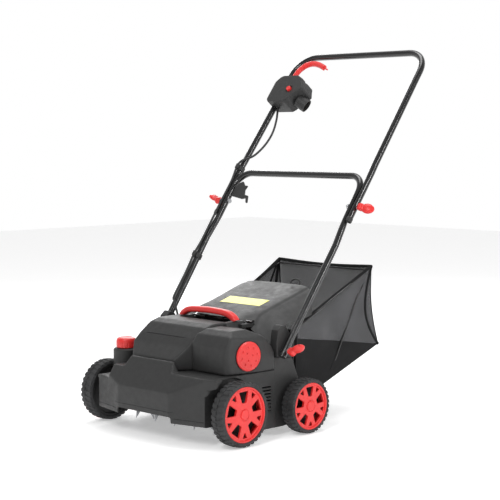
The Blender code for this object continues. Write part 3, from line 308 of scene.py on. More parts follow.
def printed_film(name, colour):
    """Glossy sticker film with a fine press grain."""
    material, tree, shader, point = finish_base(name)
    tint(tree, shader, colour, spread(tree, noise(tree, point, 30.0, 4.0), 0.0, 1.0), 0.92, 1.06)
    tree.links.new(spread(tree, noise(tree, point, 250.0, 3.0), 0.30, 0.42),
                   shader.inputs["Roughness"])
    raise_surface(tree, shader, [(noise(tree, point, 120.0, 2.0), 0.0003, 0.15)])
    return material


def make_finishes():
    shade = colours()
    made = {
        "black_plastic": moulded_plastic("moulded_black", shade.black_plastic, 0.42, 0.58, 0.35),
        "red_plastic": moulded_plastic("moulded_red", shade.red_plastic, 0.30, 0.42, 0.12, 0.2),
        "tyre": tyre_rubber("tread_rubber", shade.tyre),
        "black_tube": powder_coat("powder_coat", shade.tube_paint),
        "steel": plated_steel("plated_steel", shade.steel),
        "motor_case": plated_steel("cast_case", (0.50, 0.51, 0.53), 0.45),
        "rubber": soft_rubber("sheath_rubber", shade.rubber),
        "bag_fabric": woven_fabric("bag_cloth", shade.fabric),
        "netting": open_netting("bag_netting", shade.netting),
        "patch": woven_fabric("bag_patch_cloth", shade.patch),
        "binding": woven_fabric("bag_binding", [c * 0.8 for c in shade.fabric]),
        "yellow_label": printed_film("sticker_film", shade.sticker),
        "brass": plated_steel("pin_brass", (0.78, 0.60, 0.26), 0.22),
    }
    return made


def finish(name):
    return bpy.data.materials[{
        "black_plastic": "moulded_black", "red_plastic": "moulded_red", "tyre": "tread_rubber",
        "black_tube": "powder_coat", "steel": "plated_steel", "motor_case": "cast_case",
        "rubber": "sheath_rubber", "bag_fabric": "bag_cloth", "netting": "bag_netting",
        "patch": "bag_patch_cloth", "binding": "bag_binding", "yellow_label": "sticker_film", "brass": "pin_brass"}[name]]


# ---- modelling by hand ----
def deselect():
    if bpy.context.mode != "OBJECT":
        bpy.ops.object.mode_set(mode="OBJECT")
    bpy.ops.object.select_all(action="DESELECT")


def pick(piece):
    deselect()
    piece.select_set(True)
    bpy.context.view_layer.objects.active = piece
    return piece


def edit(piece, kind="VERT"):
    pick(piece)
    bpy.ops.object.mode_set(mode="EDIT")
    bpy.ops.mesh.select_mode(type=kind)
    bpy.ops.mesh.select_all(action="SELECT")


def close_edit():
    bpy.ops.object.mode_set(mode="OBJECT")


def settle(piece):
    """Apply the object's place, turn and scale to its mesh."""
    pick(piece)
    bpy.ops.object.transform_apply(location=True, rotation=True, scale=True)
    return piece


def place(piece, matrix):
    piece.matrix_world = matrix @ piece.matrix_world
    return settle(piece)


def aimed(axis, at):
    return Matrix.Translation(Vector(at)) @ Vector(axis).to_track_quat("Z", "Y").to_matrix().to_4x4()


def modify(piece, kind, **settings):
    pick(piece)
    modifier = piece.modifiers.new(kind.lower(), kind)
    for key, value in settings.items():
        setattr(modifier, key, value)
    bpy.ops.object.modifier_apply(modifier=modifier.name)
    return piece


def bevelled(piece, width, segments=2, angle=30.0):
    return modify(piece, "BEVEL", width=width, segments=segments, limit_method="ANGLE",
                  angle_limit=radians(angle), use_clamp_overlap=True, harden_normals=False)


def smooth(piece, angle=32.0):
    pick(piece)
    bpy.ops.object.shade_smooth_by_angle(angle=radians(angle))
    return piece


def face_out(piece):
    edit(piece)
    bpy.ops.mesh.remove_doubles(threshold=0.00002)
    bpy.ops.mesh.normals_make_consistent(inside=False)
    close_edit()
    return piece


def cut(piece, cutter):
    modify(piece, "BOOLEAN", object=cutter, operation="DIFFERENCE", solver="EXACT")
    bpy.data.objects.remove(cutter, do_unlink=True)
    return piece


def joined(pieces, name):
    deselect()
    for piece in pieces:
        piece.select_set(True)
    bpy.context.view_layer.objects.active = pieces[0]
    if len(pieces) > 1:
        bpy.ops.object.join()
    pieces[0].name = name
    return pieces[0]


def twin(piece, name, matrix):
    copy = bpy.data.objects.new(name, piece.data.copy())
    bpy.context.collection.objects.link(copy)
    copy.data.transform(matrix)
    if matrix.determinant() < 0:
        copy.data.flip_normals()
    return copy


def hand_over(piece, material, body, nodes=()):
    """Give a finished piece its finish and its body, and the frame nodes it stands for."""
    piece.data.materials.clear()
    piece.data.materials.append(finish(material))
    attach(piece, body)
    if nodes:
        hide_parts(*nodes)
    return piece


def lathed(name, profile, axis, at, steps=64):
    """A ring of points of (radius, height) spun round an axis."""
    deselect()
    bpy.ops.mesh.primitive_circle_add(vertices=len(profile), radius=0.01, fill_type="NOTHING")
    piece = bpy.context.object
    piece.name = name
    for vertex, (radius, height) in zip(piece.data.vertices, profile):
        vertex.co = (radius, 0.0, height)
    edit(piece)
    bpy.ops.mesh.spin(steps=steps, angle=2 * pi, center=(0.0, 0.0, 0.0), axis=(0.0, 0.0, 1.0))
    bpy.ops.mesh.select_all(action="SELECT")
    bpy.ops.mesh.remove_doubles(threshold=0.00001)
    bpy.ops.mesh.dissolve_degenerate(threshold=0.00001)
    bpy.ops.mesh.normals_make_consistent(inside=False)
    close_edit()
    return place(piece, aimed(axis, at))


def drum(name, radius, depth, axis, at, vertices=32, edge=0.0):
    """A short cylinder with rounded rims, at: its middle."""
    deselect()
    bpy.ops.mesh.primitive_cylinder_add(vertices=vertices, radius=radius, depth=depth)
    piece = bpy.context.object
    piece.name = name
    place(piece, aimed(axis, at))
    if edge:
        bevelled(piece, edge, 2, 50.0)
    return piece


def block(name, low, high, edge=0.0, segments=2):
    deselect()
    low, high = Vector(low), Vector(high)
    bpy.ops.mesh.primitive_cube_add(size=1.0, location=(low + high) / 2)
    piece = bpy.context.object
    piece.name = name
    piece.scale = high - low
    settle(piece)
    if edge:
        bevelled(piece, edge, segments)
    return piece


def prism(name, outline, axis, low, high):
    """An outline pushed along an axis: (y, z) along X, (x, z) along Y, (x, y) along Z."""
    deselect()
    bpy.ops.mesh.primitive_circle_add(vertices=len(outline), radius=0.01, fill_type="NGON")
    piece = bpy.context.object
    piece.name = name
    for vertex, (a, b) in zip(piece.data.vertices, outline):
        vertex.co = {"X": (low, a, b), "Y": (a, low, b), "Z": (a, b, low)}[axis]
    edit(piece, "FACE")
    push = {"X": (high - low, 0, 0), "Y": (0, high - low, 0), "Z": (0, 0, high - low)}[axis]
    bpy.ops.mesh.extrude_region_move(TRANSFORM_OT_translate={"value": push})
    bpy.ops.mesh.select_all(action="SELECT")
    bpy.ops.mesh.normals_make_consistent(inside=False)
    close_edit()
    return piece


def meet(piece, other, operation="INTERSECT"):
    modify(piece, "BOOLEAN", object=other, operation=operation, solver="EXACT")
    bpy.data.objects.remove(other, do_unlink=True)
    return piece


def cut_all(piece, cutters):
    for cutter in cutters:
        cut(piece, cutter)
    return piece


def softened(piece, voxel, passes):
    """Round every edge of a solid the way a moulding is: an even skin, relaxed."""
    modify(piece, "REMESH", mode="VOXEL", voxel_size=voxel, adaptivity=0.0)
    modify(piece, "SMOOTH", factor=0.5, iterations=passes)
    return piece


def finished_shell(piece, angle=24.0):
    """Clean up, move from axle places to the frame's and shade with even flat faces."""
    piece.data.transform(Matrix.Translation((0.0, AXLE_Y, 0.0)))
    edit(piece)
    bpy.ops.mesh.remove_doubles(threshold=0.00002)
    bpy.ops.mesh.dissolve_degenerate(threshold=0.00001)
    close_edit()
    return even_shading(piece, angle)


def even_shading(piece, angle=30.0):
    smooth(piece, angle)
    return modify(piece, "WEIGHTED_NORMAL", keep_sharp=True, weight=80)


def rounded(points, radius, steps=8):
    """Points of a bent tube: straight runs joined by arcs of one radius."""
    points = [Vector(p) for p in points]
    path = [points[0]]
    for before, corner, after in zip(points, points[1:], points[2:]):
        arrive = (corner - before).normalized()
        leave = (after - corner).normalized()
        bend = arrive.angle(leave)
        if bend < radians(3.0):
            path.append(corner)
            continue
        reach = radius * sin(bend / 2) / cos(bend / 2)
        start = corner - arrive * reach
        across = (leave - arrive * leave.dot(arrive)).normalized()
        for i in range(steps + 1):
            turn = bend * i / steps
            path.append(start + arrive * (radius * sin(turn)) + across * (radius * (1 - cos(turn))))
    path.append(points[-1])
    return path


def curve_through(points, spacing):
    """Evenly spread points on a smooth curve through given ones."""
    points = [Vector(p) for p in points]
    ends = [points[0] * 2 - points[1]] + points + [points[-1] * 2 - points[-2]]
    fine = []
    for a, b, c, d in zip(ends, ends[1:], ends[2:], ends[3:]):
        for i in range(24):
            t = i / 24
            fine.append(0.5 * (2 * b + (c - a) * t + (2 * a - 5 * b + 4 * c - d) * t * t
                               + (3 * b - a - 3 * c + d) * t * t * t))
    fine.append(points[-1])
    length = sum((q - p).length for p, q in zip(fine, fine[1:]))
    count = max(2, round(length / spacing))
    route, walked, target = [fine[0]], 0.0, 1
    for p, q in zip(fine, fine[1:]):
        step = (q - p).length
        while target < count and walked + step >= length * target / count:
            route.append(p.lerp(q, (length * target / count - walked) / step))
            target += 1
        walked += step
    route.append(fine[-1])
    return route


def bent_rod(name, path, radius, resolution=6, closed=False):
    """A round rod along a path, as a curve turned into a mesh."""
    deselect()
    bpy.ops.curve.primitive_bezier_curve_add()
    piece = bpy.context.object
    piece.name = name
    curve = piece.data
    curve.dimensions = "3D"
    curve.splines.clear()
    spline = curve.splines.new("POLY")
    spline.points.add(len(path) - 1)
    for point, at in zip(spline.points, path):
        point.co = (*at, 1.0)
    spline.use_cyclic_u = closed
    curve.bevel_depth = radius
    curve.bevel_resolution = resolution
    curve.use_fill_caps = not closed
    bpy.ops.object.convert(target="MESH")
    return smooth(face_out(bpy.context.object), 40.0)


def refined(node, edge, body, slot, segments=3, angle=26.0, crease=30.0, material=None):
    """A copy of a frame node with its flat faces cleaned up and its edges rounded."""
    piece = bpy.data.objects.new(node + "_skin", frame["nodes"][node].data.copy())
    bpy.context.collection.objects.link(piece)
    edit(piece)
    bpy.ops.mesh.remove_doubles(threshold=0.00002)
    bpy.ops.mesh.dissolve_limited(angle_limit=radians(0.6))
    close_edit()
    if edge:
        bevelled(piece, edge, segments, angle)
    even_shading(piece, crease)
    return hand_over(piece, material or slot, body, [node])


def spot(x, y, z):
    """A place counted from the front axle, on the ground."""
    return Vector((x, y + AXLE_Y, z))


def in_box(across, up, out):
    """A place counted on the switch box: across, up the handle, out of its front."""
    return BOX_AT + Vector((across, 0.0, 0.0)) + BAR_DIR * up + BAR_FRONT * out


def screw_head(name, at, axis, radius=0.0042):
    """A pan-head screw with a cross recess, sunk a little in its seat."""
    head = lathed(name, [(0.0, -0.001), (radius, -0.001), (radius, 0.0006), (radius * 0.8, 0.0015),
                         (radius * 0.4, 0.0019), (0.0, 0.0020)], (0, 0, 1), (0, 0, 0), 20)
    for turn in (0.0, pi / 2):
        slot = block("recess", (-radius * 0.55, -radius * 0.12, 0.0010),
                     (radius * 0.55, radius * 0.12, 0.004))
        slot.matrix_world = Matrix.Rotation(turn, 4, "Z")
        cut(head, settle(slot))
    return smooth(place(head, aimed(axis, at)), 30.0)


# ---- stage ----
class DETHATCHER_OT_stage(bpy.types.Operator):
    """Pale floor, soft lights and the camera"""

    bl_idname = "dethatcher.stage"
    bl_label = "Stage"

    def execute(self, context):
        self.add_camera(context)
        self.add_floor()
        self.add_lights(context)
        context.scene.view_settings.view_transform = "Standard"
        return {"FINISHED"}

    def add_camera(self, context):
        camera = bpy.data.objects.new("camera", bpy.data.cameras.new("camera"))
        context.collection.objects.link(camera)
        camera.data.lens = 103.1
        camera.data.sensor_width = 36.0
        camera.location = (2.8447, -2.5622 + AXLE_Y, 0.8028)
        camera.rotation_euler = (radians(90 - 4.614), 0.0, radians(44.805))
        context.scene.camera = camera

    def add_floor(self):
        deselect()
        bpy.ops.mesh.primitive_plane_add(size=14.0, location=(0.0, 0.0, -0.0005))
        floor = bpy.context.object
        floor.name = "floor"
        material, tree, shader, point = finish_base("studio_floor")
        tint(tree, shader, colours().floor, spread(tree, noise(tree, point, 3.0), 0.0, 1.0), 0.99, 1.0)
        shader.inputs["Roughness"].default_value = 0.75
        shader.inputs["Emission Color"].default_value = (1.0, 1.0, 1.0, 1.0)
        shader.inputs["Emission Strength"].default_value = 0.36
        floor.data.materials.append(material)

    def add_lights(self, context):
        world = bpy.data.worlds.new("studio")
        context.scene.world = world
        world.use_nodes = True
        tree = world.node_tree
        background = tree.nodes["Background"]
        background.inputs["Color"].default_value = (1.0, 1.0, 1.0, 1.0)
        coords = tree.nodes.new("ShaderNodeTexCoord")
        facing = tree.nodes.new("ShaderNodeVectorMath")
        facing.operation = "DOT_PRODUCT"
        facing.inputs[1].default_value = (-0.62, 0.62, -0.48)
        tree.links.new(coords.outputs["Generated"], facing.inputs[0])
        tree.links.new(spread(tree, facing.outputs["Value"], 0.42, 1.0, -0.30, 0.55),
                       background.inputs["Strength"])
        for name, at, energy, width in (("key", (1.2, -2.8, 2.6), 46.0, 0.30),
                                        ("side", (3.0, 0.6, 1.6), 34.0, 0.25),
                                        ("top", (-0.3, 0.4, 3.2), 34.0, 1.6),
                                        ("back", (-2.4, 1.8, 1.8), 20.0, 1.0)):
            lamp = bpy.data.lights.new(name, "AREA")
            lamp.energy = energy
            lamp.shape = "RECTANGLE"
            lamp.size = width
            lamp.size_y = 1.6
            light = bpy.data.objects.new(name, lamp)
            context.collection.objects.link(light)
            light.location = at
            light.rotation_euler = (Vector((0.0, 0.0, 0.35)) - Vector(at)).to_track_quat(
                "-Z", "Y").to_euler()


# ---- finishes of the frame's own nodes ----
class DETHATCHER_OT_finishes(bpy.types.Operator):
    """Make the materials and give each frame node the one that its slot names"""

    bl_idname = "dethatcher.finishes"
    bl_label = "Finishes"

    def execute(self, context):
        make_finishes()
        slots = {part["node"]: part["material_slot"] for part in frame["record"]["subparts"]}
        for node, piece in frame["nodes"].items():
            piece.data.materials.clear()
            piece.data.materials.append(finish(slots[node]))
        return {"FINISHED"}


# ---- lead ----
LEAD_OFF = TUBE_R + 0.0030 + 0.0033 + 0.0012     # lead inside a clip, from the tube's middle
NEAR = TUBE_R + 0.0033 + 0.0008                  # lead where it lies along a tube


def along_leg(x, z, out):
    up = (z - LOWER_PIVOT.z) / LEG_DIR.z
    return Vector((x, 0.0, 0.0)) + LOWER_PIVOT + LEG_DIR * up + LEG_FRONT * out


def along_bar(x, z, out):
    up = (z - UPPER_PIVOT.z) / BAR_DIR.z
    return Vector((x, 0.0, 0.0)) + UPPER_PIVOT + BAR_DIR * up + BAR_FRONT * out


class DETHATCHER_OT_lead(bpy.types.Operator):
    """Supply lead from the switch box down the left legs to the deck"""

    bl_idname = "dethatcher.lead"
    bl_label = "Supply lead"

    def execute(self, context):
        end = spot(-0.2340, 0.2270, 0.3150)
        fall = Vector((0.50, -0.25, -0.83)).normalized()
        gland = spot(-0.2040, 0.2150, 0.2077)
        points = [in_box(-0.236, -0.0415, 0.0), in_box(-0.236, -0.058, 0.0),
                  in_box(-0.218, -0.100, 0.0), in_box(-0.206, -0.150, 0.0),
                  in_box(-0.209, -0.198, 0.002), in_box(-0.227, -0.240, 0.006),
                  along_bar(-0.2510, 0.718, 0.0140), along_bar(-0.2600, 0.7050, LEAD_OFF),
                  along_bar(-0.2600, 0.6870, LEAD_OFF), along_bar(-0.2565, 0.655, NEAR),
                  along_leg(-0.2535, UPPER_PIVOT.z - LEG_FRONT.z * NEAR, NEAR + 0.0010),
                  along_leg(-0.2545, 0.545, NEAR), along_leg(-0.2535, 0.4820, NEAR + 0.0004),
                  along_leg(-0.2535, 0.4510, LEAD_OFF), along_leg(-0.2535, 0.4330, LEAD_OFF),
                  along_leg(-0.2512, 0.385, NEAR + 0.0020), end - fall * 0.020, end - fall * 0.008,
                  end, end + fall * 0.010, gland + Vector((-0.0020, 0.0, 0.064)),
                  gland + Vector((0.0, 0.0, 0.040)), gland + Vector((0.0, 0.0, 0.016))]
        route = curve_through(points, 0.006)
        radius = sizes().lead_diameter / 2
        parting = along_leg(0.0, 0.4420, 0.0).z
        above = [p for p in route if p.z >= parting]
        below = [above[-1]] + [p for p in route if p.z < parting]
        piece = bent_rod("lead_upper", above, radius)
        self.cover(piece, "rubber")
        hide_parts("cable_upper", "cable_bend")
        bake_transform(piece)
        piece = bent_rod("lead_lower", below, radius)
        self.cover(piece, "rubber")
        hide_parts("cable_lower", "cable_tail")
        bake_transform(piece)
        self.add_gland(gland, radius)
        return {"FINISHED"}

    def cover(self, piece, material):
        piece.data.materials.clear()
        piece.data.materials.append(finish(material))

    def add_gland(self, at, radius):
        profile = [(0.0, 0.0), (0.0055, 0.0), (0.0055, 0.003)]
        for ring in range(4):
            height = 0.0035 + ring * 0.0030
            profile += [(0.0050 - ring * 0.0002, height), (0.0050 - ring * 0.0002, height + 0.0014),
                        (0.0042, height + 0.0018), (0.0042, height + 0.0026)]
        profile += [(radius + 0.0003, 0.0158), (0.0, 0.0158)]
        piece = smooth(lathed("cable_gland_skin", profile, (0, 0, 1), at, 32))
        hand_over(piece, "rubber", "deck", ["cable_gland"])


# ---- deck, hood and belt cover ----
DECK_TOP = 0.178
DECK_HALF = 0.228
CAP_AT = Vector((0.2276, 0.066, 0.2245))
CAP_AXIS = Vector((0.1060, -0.0150, 0.0)).normalized()


class DETHATCHER_OT_deck(bpy.types.Operator):
    """Deck shell with its rounded skirt, brackets, pedestal and bearing plates"""

    bl_idname = "dethatcher.deck"
    bl_label = "Deck"

    def execute(self, context):
        shell = self.outer_form()
        self.hollow_out(shell)
        hand_over(finished_shell(shell), "black_plastic", "deck", ["deck_shell"])
        refined("knob_pedestal", 0.0010, "deck", "black_plastic", 2, 40.0)
        for side, sign in SIDES:
            refined("handle_bracket_" + side, 0.0012, "deck", "black_plastic", 2, 40.0)
            refined("bearing_plate_" + side, 0.0005, "deck", "steel", 1, 40.0)
        refined("motor_saddle", 0.0010, "deck", "black_plastic", 1, 40.0)
        return {"FINISHED"}

    def outer_form(self):
        side = [(-0.102, 0.052), (-0.102, 0.132), (-0.058, 0.206), (-0.050, 0.206),
                (-0.046, DECK_TOP), (0.168, DECK_TOP), (0.168, 0.020), (0.092, 0.020), (0.070, 0.052)]
        plan = [(-DECK_HALF, 0.17), (-DECK_HALF, -0.045), (-0.221, -0.0745), (-0.101, -0.102),
                (0.101, -0.102), (0.221, -0.0745), (DECK_HALF, -0.045), (DECK_HALF, 0.17)]
        front = [(-DECK_HALF, 0.0), (-DECK_HALF, 0.143), (-0.154, 0.143), (-0.150, DECK_TOP),
                 (-0.108, DECK_TOP), (-0.092, 0.220), (0.066, 0.220), (0.082, DECK_TOP),
                 (DECK_HALF, DECK_TOP), (DECK_HALF, 0.0)]
        shell = prism("deck_shell_skin", side, "X", -DECK_HALF, DECK_HALF)
        meet(shell, prism("plan", plan, "Z", 0.0, 0.25))
        meet(shell, prism("front", front, "Y", -0.12, 0.18))
        softened(shell, 0.0030, 7)
        rear = [(0.1625, 0.020), (0.1625, 0.2125), (0.235, 0.204), (0.262, 0.138), (0.274, 0.028),
                (0.200, 0.020)]
        tail = prism("rear", rear, "X", -DECK_HALF, DECK_HALF)
        meet(shell, bevelled(tail, 0.0035, 3, 30.0), "UNION")
        guard = prism("guard", [(0.205, -0.0780), (0.249, -0.0681), (0.249, -0.046),
                                (0.227, -0.032), (0.205, -0.032)], "Z", 0.150, DECK_TOP - 0.0005)
        bevelled(guard, 0.0035, 3, 30.0)
        for centre_y, centre_z in ((0.0, 0.086), (0.0035, 0.103)):
            cut(guard, drum("well", 0.090, 0.040, (1, 0, 0), (0.245, centre_y, centre_z), 96))
        return meet(shell, guard, "UNION")

    def hollow_out(self, shell):
        hollow = prism("hollow", [(-0.098, -0.02), (-0.098, 0.131), (-0.0735, 0.174), (0.168, 0.174),
                                  (0.168, -0.02)], "X", -0.224, 0.224)
        plan = [(-0.224, 0.20), (-0.224, 0.097), (-0.2085, 0.093), (-0.2085, -0.0725),
                (-0.1005, -0.098), (0.1005, -0.098), (0.2085, -0.0725), (0.2085, 0.093),
                (0.224, 0.097), (0.224, 0.20)]
        meet(hollow, prism("plan", plan, "Z", -0.03, 0.25))
        shoulder = [(-0.24, -0.03), (-0.24, 0.139), (-0.150, 0.139), (-0.146, 0.25), (0.24, 0.25),
                    (0.24, -0.03)]
        meet(hollow, prism("shoulder", shoulder, "Y", -0.12, 0.21))
        tail = prism("tail", [(0.1665, -0.02), (0.1665, 0.173), (0.1695, 0.176), (0.1695, 0.2080),
                              (0.232, 0.1995), (0.2577, 0.1375), (0.2697, 0.02), (0.2697, -0.02)],
                     "X", -0.224, 0.224)
        notch = block("notch", (-0.105, -0.13, 0.0), (0.108, -0.080, 0.069))
        mouth = block("mouth", (-0.185, 0.240, 0.060), (0.185, 0.290, 0.178))
        cutters = [hollow, tail, bevelled(notch, 0.006, 3, 60.0), mouth,
                   block("belt_way", (0.168, 0.026, 0.170), (0.189, 0.090, 0.190))]
        for sign in (-1, 1):
            cutters.append(drum("well", 0.090, 0.0275, (1, 0, 0), (sign * 0.22625, 0.0, 0.086), 96))
            low, high = sorted((sign * 0.200, sign * 0.2300))
            cutters.append(block("slot", (low, -0.009, 0.077), (high, 0.0125, 0.1125)))
            cutters.append(drum("bore", 0.0053, 0.020, (1, 0, 0), (sign * 0.225, 0.250, 0.075), 24))
        for left, right, height in ((-0.24, -0.1150, 0.0655), (-0.1162, 0.1172, 0.0815),
                                    (0.1160, 0.24, 0.0655)):
            fold = prism("fold", [(-0.2268, -0.045), (-0.2203, -0.0733), (-0.101, -0.1008),
                                  (0.101, -0.1008), (0.2203, -0.0733), (0.2268, -0.045),
                                  (0.245, -0.045), (0.245, -0.09), (0.1, -0.12), (-0.1, -0.12),
                                  (-0.245, -0.09), (-0.245, -0.045)], "Z", height, height + 0.0014)
            cutters.append(meet(fold, block("part", (left, -0.13, 0.0), (right, 0.0, 0.2))))
        for i in range(8):
            low = 0.0675 + 0.0092 * i
            louvre = block("louvre", (0.220, 0.118, low), (0.235, 0.152, low + 0.0045))
            cutters.append(bevelled(louvre, 0.0015, 2, 60.0))
        cut_all(shell, cutters)


class DETHATCHER_OT_hood(bpy.types.Operator):
    """Motor hood, belt cover and its round cap"""

    bl_idname = "dethatcher.hood"
    bl_label = "Hood and belt cover"

    def execute(self, context):
        self.add_hood()
        self.add_belt_cover()
        self.add_cap()
        return {"FINISHED"}

    def hood_form(self, s):
        """The hood's outer form, or its hollow when shrunk by the wall."""
        low = 0.1785 if s == 0 else 0.150
        side = [(-0.0455 + s, low), (-0.0445 + s, 0.207), (-0.010 + s * 0.7, 0.240 - s * 0.7),
                (0.006 + s * 0.8, 0.262 - s * 0.6), (0.034 + s * 0.4, 0.289 - s * 0.9),
                (0.060, 0.298 - s), (0.165 - s, 0.300 - s), (0.165 - s, low)]
        plan = [(-0.152 + s, 0.030), (-0.145 + s, -0.006 + s * 0.5), (-0.106 + s * 0.5, -0.0455 + s),
                (0.058, -0.0455 + s), (0.102 - s, 0.034 + s * 0.4), (0.102 - s, 0.0965 + s),
                (0.145 - s, 0.0965 + s), (0.145 - s, 0.165 - s), (-0.152 + s, 0.165 - s)]
        front = [(-0.152 + s, 0.14), (-0.149 + s, 0.215), (-0.116 + s, 0.31), (0.112 - s, 0.31),
                 (0.116 - s, 0.286), (0.145 - s, 0.262), (0.146, 0.14)]
        form = prism("top_cover_skin", side, "X", -0.152, 0.145)
        meet(form, prism("plan", plan, "Z", 0.14, 0.32))
        return meet(form, prism("front", front, "Y", -0.06, 0.18))

    def add_hood(self):
        wall = 0.003
        shell = softened(self.hood_form(0.0), 0.0025, 14)
        cut(shell, block("foot", (-0.20, -0.10, 0.15), (0.20, 0.20, 0.1787)))
        cut(shell, block("line", (-0.104, -0.004, 0.2610), (0.050, 0.0088, 0.2624)))
        room = block("room", (-0.083, 0.106, 0.272), (0.096, 0.1592, 0.33), 0.004, 3)
        cut(shell, room)
        cut(shell, block("pin_room", (-0.084, 0.152, 0.2885), (0.096, 0.180, 0.33)))
        inside = self.hood_form(wall)
        cut(inside, block("floor", (-0.083 - wall, 0.106 - wall, 0.272 - wall),
                          (0.096 + wall, 0.20, 0.33)))
        cut(shell, inside)
        for x in (-0.090, 0.124):
            meet(shell, block("lug", (x - 0.006, 0.140, 0.2822), (x + 0.006, 0.1860, 0.2922)), "UNION")
        meet(shell, block("hinge_tray", (-0.094, 0.160, 0.2660), (0.128, 0.1900, 0.2690)), "UNION")
        meet(shell, block("hinge_wall", (-0.094, 0.1876, 0.2665), (0.128, 0.1901, 0.2995)), "UNION")
        cut(shell, drum("bore", 0.0095, 0.020, (1, 0, 0), (0.100, 0.063, 0.226), 32))
        hand_over(finished_shell(shell), "black_plastic", "deck", ["top_cover"])

    def dome_form(self, s):
        low = 0.1785 if s == 0 else 0.160
        open_side = 0.1025 if s == 0 else 0.090
        side = [(-0.006 + s, low), (-0.003 + s, 0.250), (0.010 + s * 0.8, 0.277 - s * 0.5),
                (0.034, 0.290 - s), (0.085, 0.292 - s), (0.125 - s * 0.5, 0.274 - s),
                (0.150 - s * 0.8, 0.243 - s * 0.5), (0.160 - s, 0.225 - s), (0.160 - s, low)]
        plan = [(open_side - 0.021, -0.002 + s), (0.209, -0.006 + s), (0.219 - s, 0.004 + s * 0.4),
                (0.234 - s, 0.110), (0.234 - s, 0.160 - s), (0.1455 + s, 0.160 - s),
                (0.1455 + s, 0.0960 - s), (open_side, 0.0960 - s), (open_side, 0.036)]
        front = [(0.05, 0.15), (0.05, 0.294 - s), (0.196, 0.292 - s),
                 (0.224 - s * 0.7, 0.272 - s * 0.7), (0.236 - s, 0.258), (0.236 - s, 0.15)]
        form = prism("belt_cover_skin", side, "X", 0.06, 0.236)
        meet(form, prism("plan", plan, "Z", 0.15, 0.31))
        return meet(form, prism("front", front, "Y", -0.02, 0.18))

    def add_belt_cover(self):
        shell = softened(self.dome_form(0.0), 0.0025, 18)
        cut(shell, block("foot", (0.0, -0.10, 0.15), (0.30, 0.20, 0.1787)))
        cut(shell, self.dome_form(0.003))
        cut(shell, drum("hole", 0.0358, 0.050, CAP_AXIS, CAP_AT, 72))
        seat = lathed("seat", [(0.0394, -0.0012), (0.0422, -0.0012), (0.0422, 0.02), (0.0394, 0.02)],
                      CAP_AXIS, CAP_AT, 72)
        cut(shell, seat)
        hand_over(finished_shell(shell), "black_plastic", "deck", ["belt_cover"])

    def add_cap(self):
        """Round red cap with a raised rim and a ring of dimples."""
        profile = [(0.0, -0.003), (0.0352, -0.003), (0.0352, 0.0004), (0.0390, 0.0004),
                   (0.0392, 0.0020), (0.0384, 0.0036), (0.0368, 0.0044), (0.0350, 0.0046),
                   (0.0338, 0.0040), (0.0200, 0.0046), (0.0, 0.0050)]
        cap = lathed("belt_cover_cap_skin", profile, (0, 0, 1), (0, 0, 0), 72)
        dimples = []
        for count, ring, radius in ((8, 0.0250, 0.0033), (3, 0.0110, 0.0026)):
            for i in range(count):
                turn = 2 * pi * i / count + 0.2
                dimples.append(drum("dimple", radius, 0.004, (0, 0, 1),
                                    (ring * cos(turn), ring * sin(turn), 0.0050), 20))
        cut_all(cap, dimples)
        place(cap, aimed(CAP_AXIS, CAP_AT + Vector((0.0, AXLE_Y, 0.0))))
        even_shading(cap, 28.0)
        hand_over(cap, "red_plastic", "deck", ["belt_cover_cap"])


class DETHATCHER_OT_carry_handle(bpy.types.Operator):
    """Arched red carry handle across the hood"""

    bl_idname = "dethatcher.carry_handle"
    bl_label = "Carry handle"

    def execute(self, context):
        path = [(-0.0995, 0.2985), (-0.088, 0.3095), (-0.062, 0.3185), (0.010, 0.3220),
                (0.076, 0.3185), (0.102, 0.3095), (0.1130, 0.2985)]
        route = curve_through([spot(x, 0.135, z) for x, z in path], 0.006)
        deselect()
        bpy.ops.mesh.primitive_circle_add(vertices=24, radius=1.0, fill_type="NGON")
        bar = bpy.context.object
        bar.name = "carry_handle_skin"
        rings = []
        for i, point in enumerate(route):
            before, after = route[max(0, i - 1)], route[min(len(route) - 1, i + 1)]
            rings.append((point, (after - before).normalized()))
        self.sweep(bar, rings)
        smooth(bar, 40.0)
        hand_over(bar, "red_plastic", "deck", ["carry_handle"])
        return {"FINISHED"}

    def sweep(self, bar, rings):
        """Extrude the end cap along the arch, ring by ring, with a rounded section."""
        count = len(bar.data.vertices)

        def section(point, ahead):
            lift = Vector((0.0, 1.0, 0.0)).cross(ahead) * -1
            ring = []
            for i in range(count):
                turn = 2 * pi * i / count
                wide = 0.0110 * (1 if cos(turn) > 0 else -1) * abs(cos(turn)) ** 0.62
                tall = 0.0085 * (1 if sin(turn) > 0 else -1) * abs(sin(turn)) ** 0.70
                ring.append(point + Vector((0.0, wide, 0.0)) + lift * tall)
            return ring

        shape = bmesh.new()
        rows = [[shape.verts.new(co) for co in section(*ring)] for ring in rings]
        for first, second in zip(rows, rows[1:]):
            for i in range(count):
                j = (i + 1) % count
                shape.faces.new((first[i], first[j], second[j], second[i]))
        shape.faces.new(rows[0])
        shape.faces.new(rows[-1])
        for row in rows:
            for vertex in row:
                vertex.co.z = max(vertex.co.z, 0.3009)
        bmesh.ops.recalc_face_normals(shape, faces=shape.faces)
        shape.to_mesh(bar.data)
        shape.free()


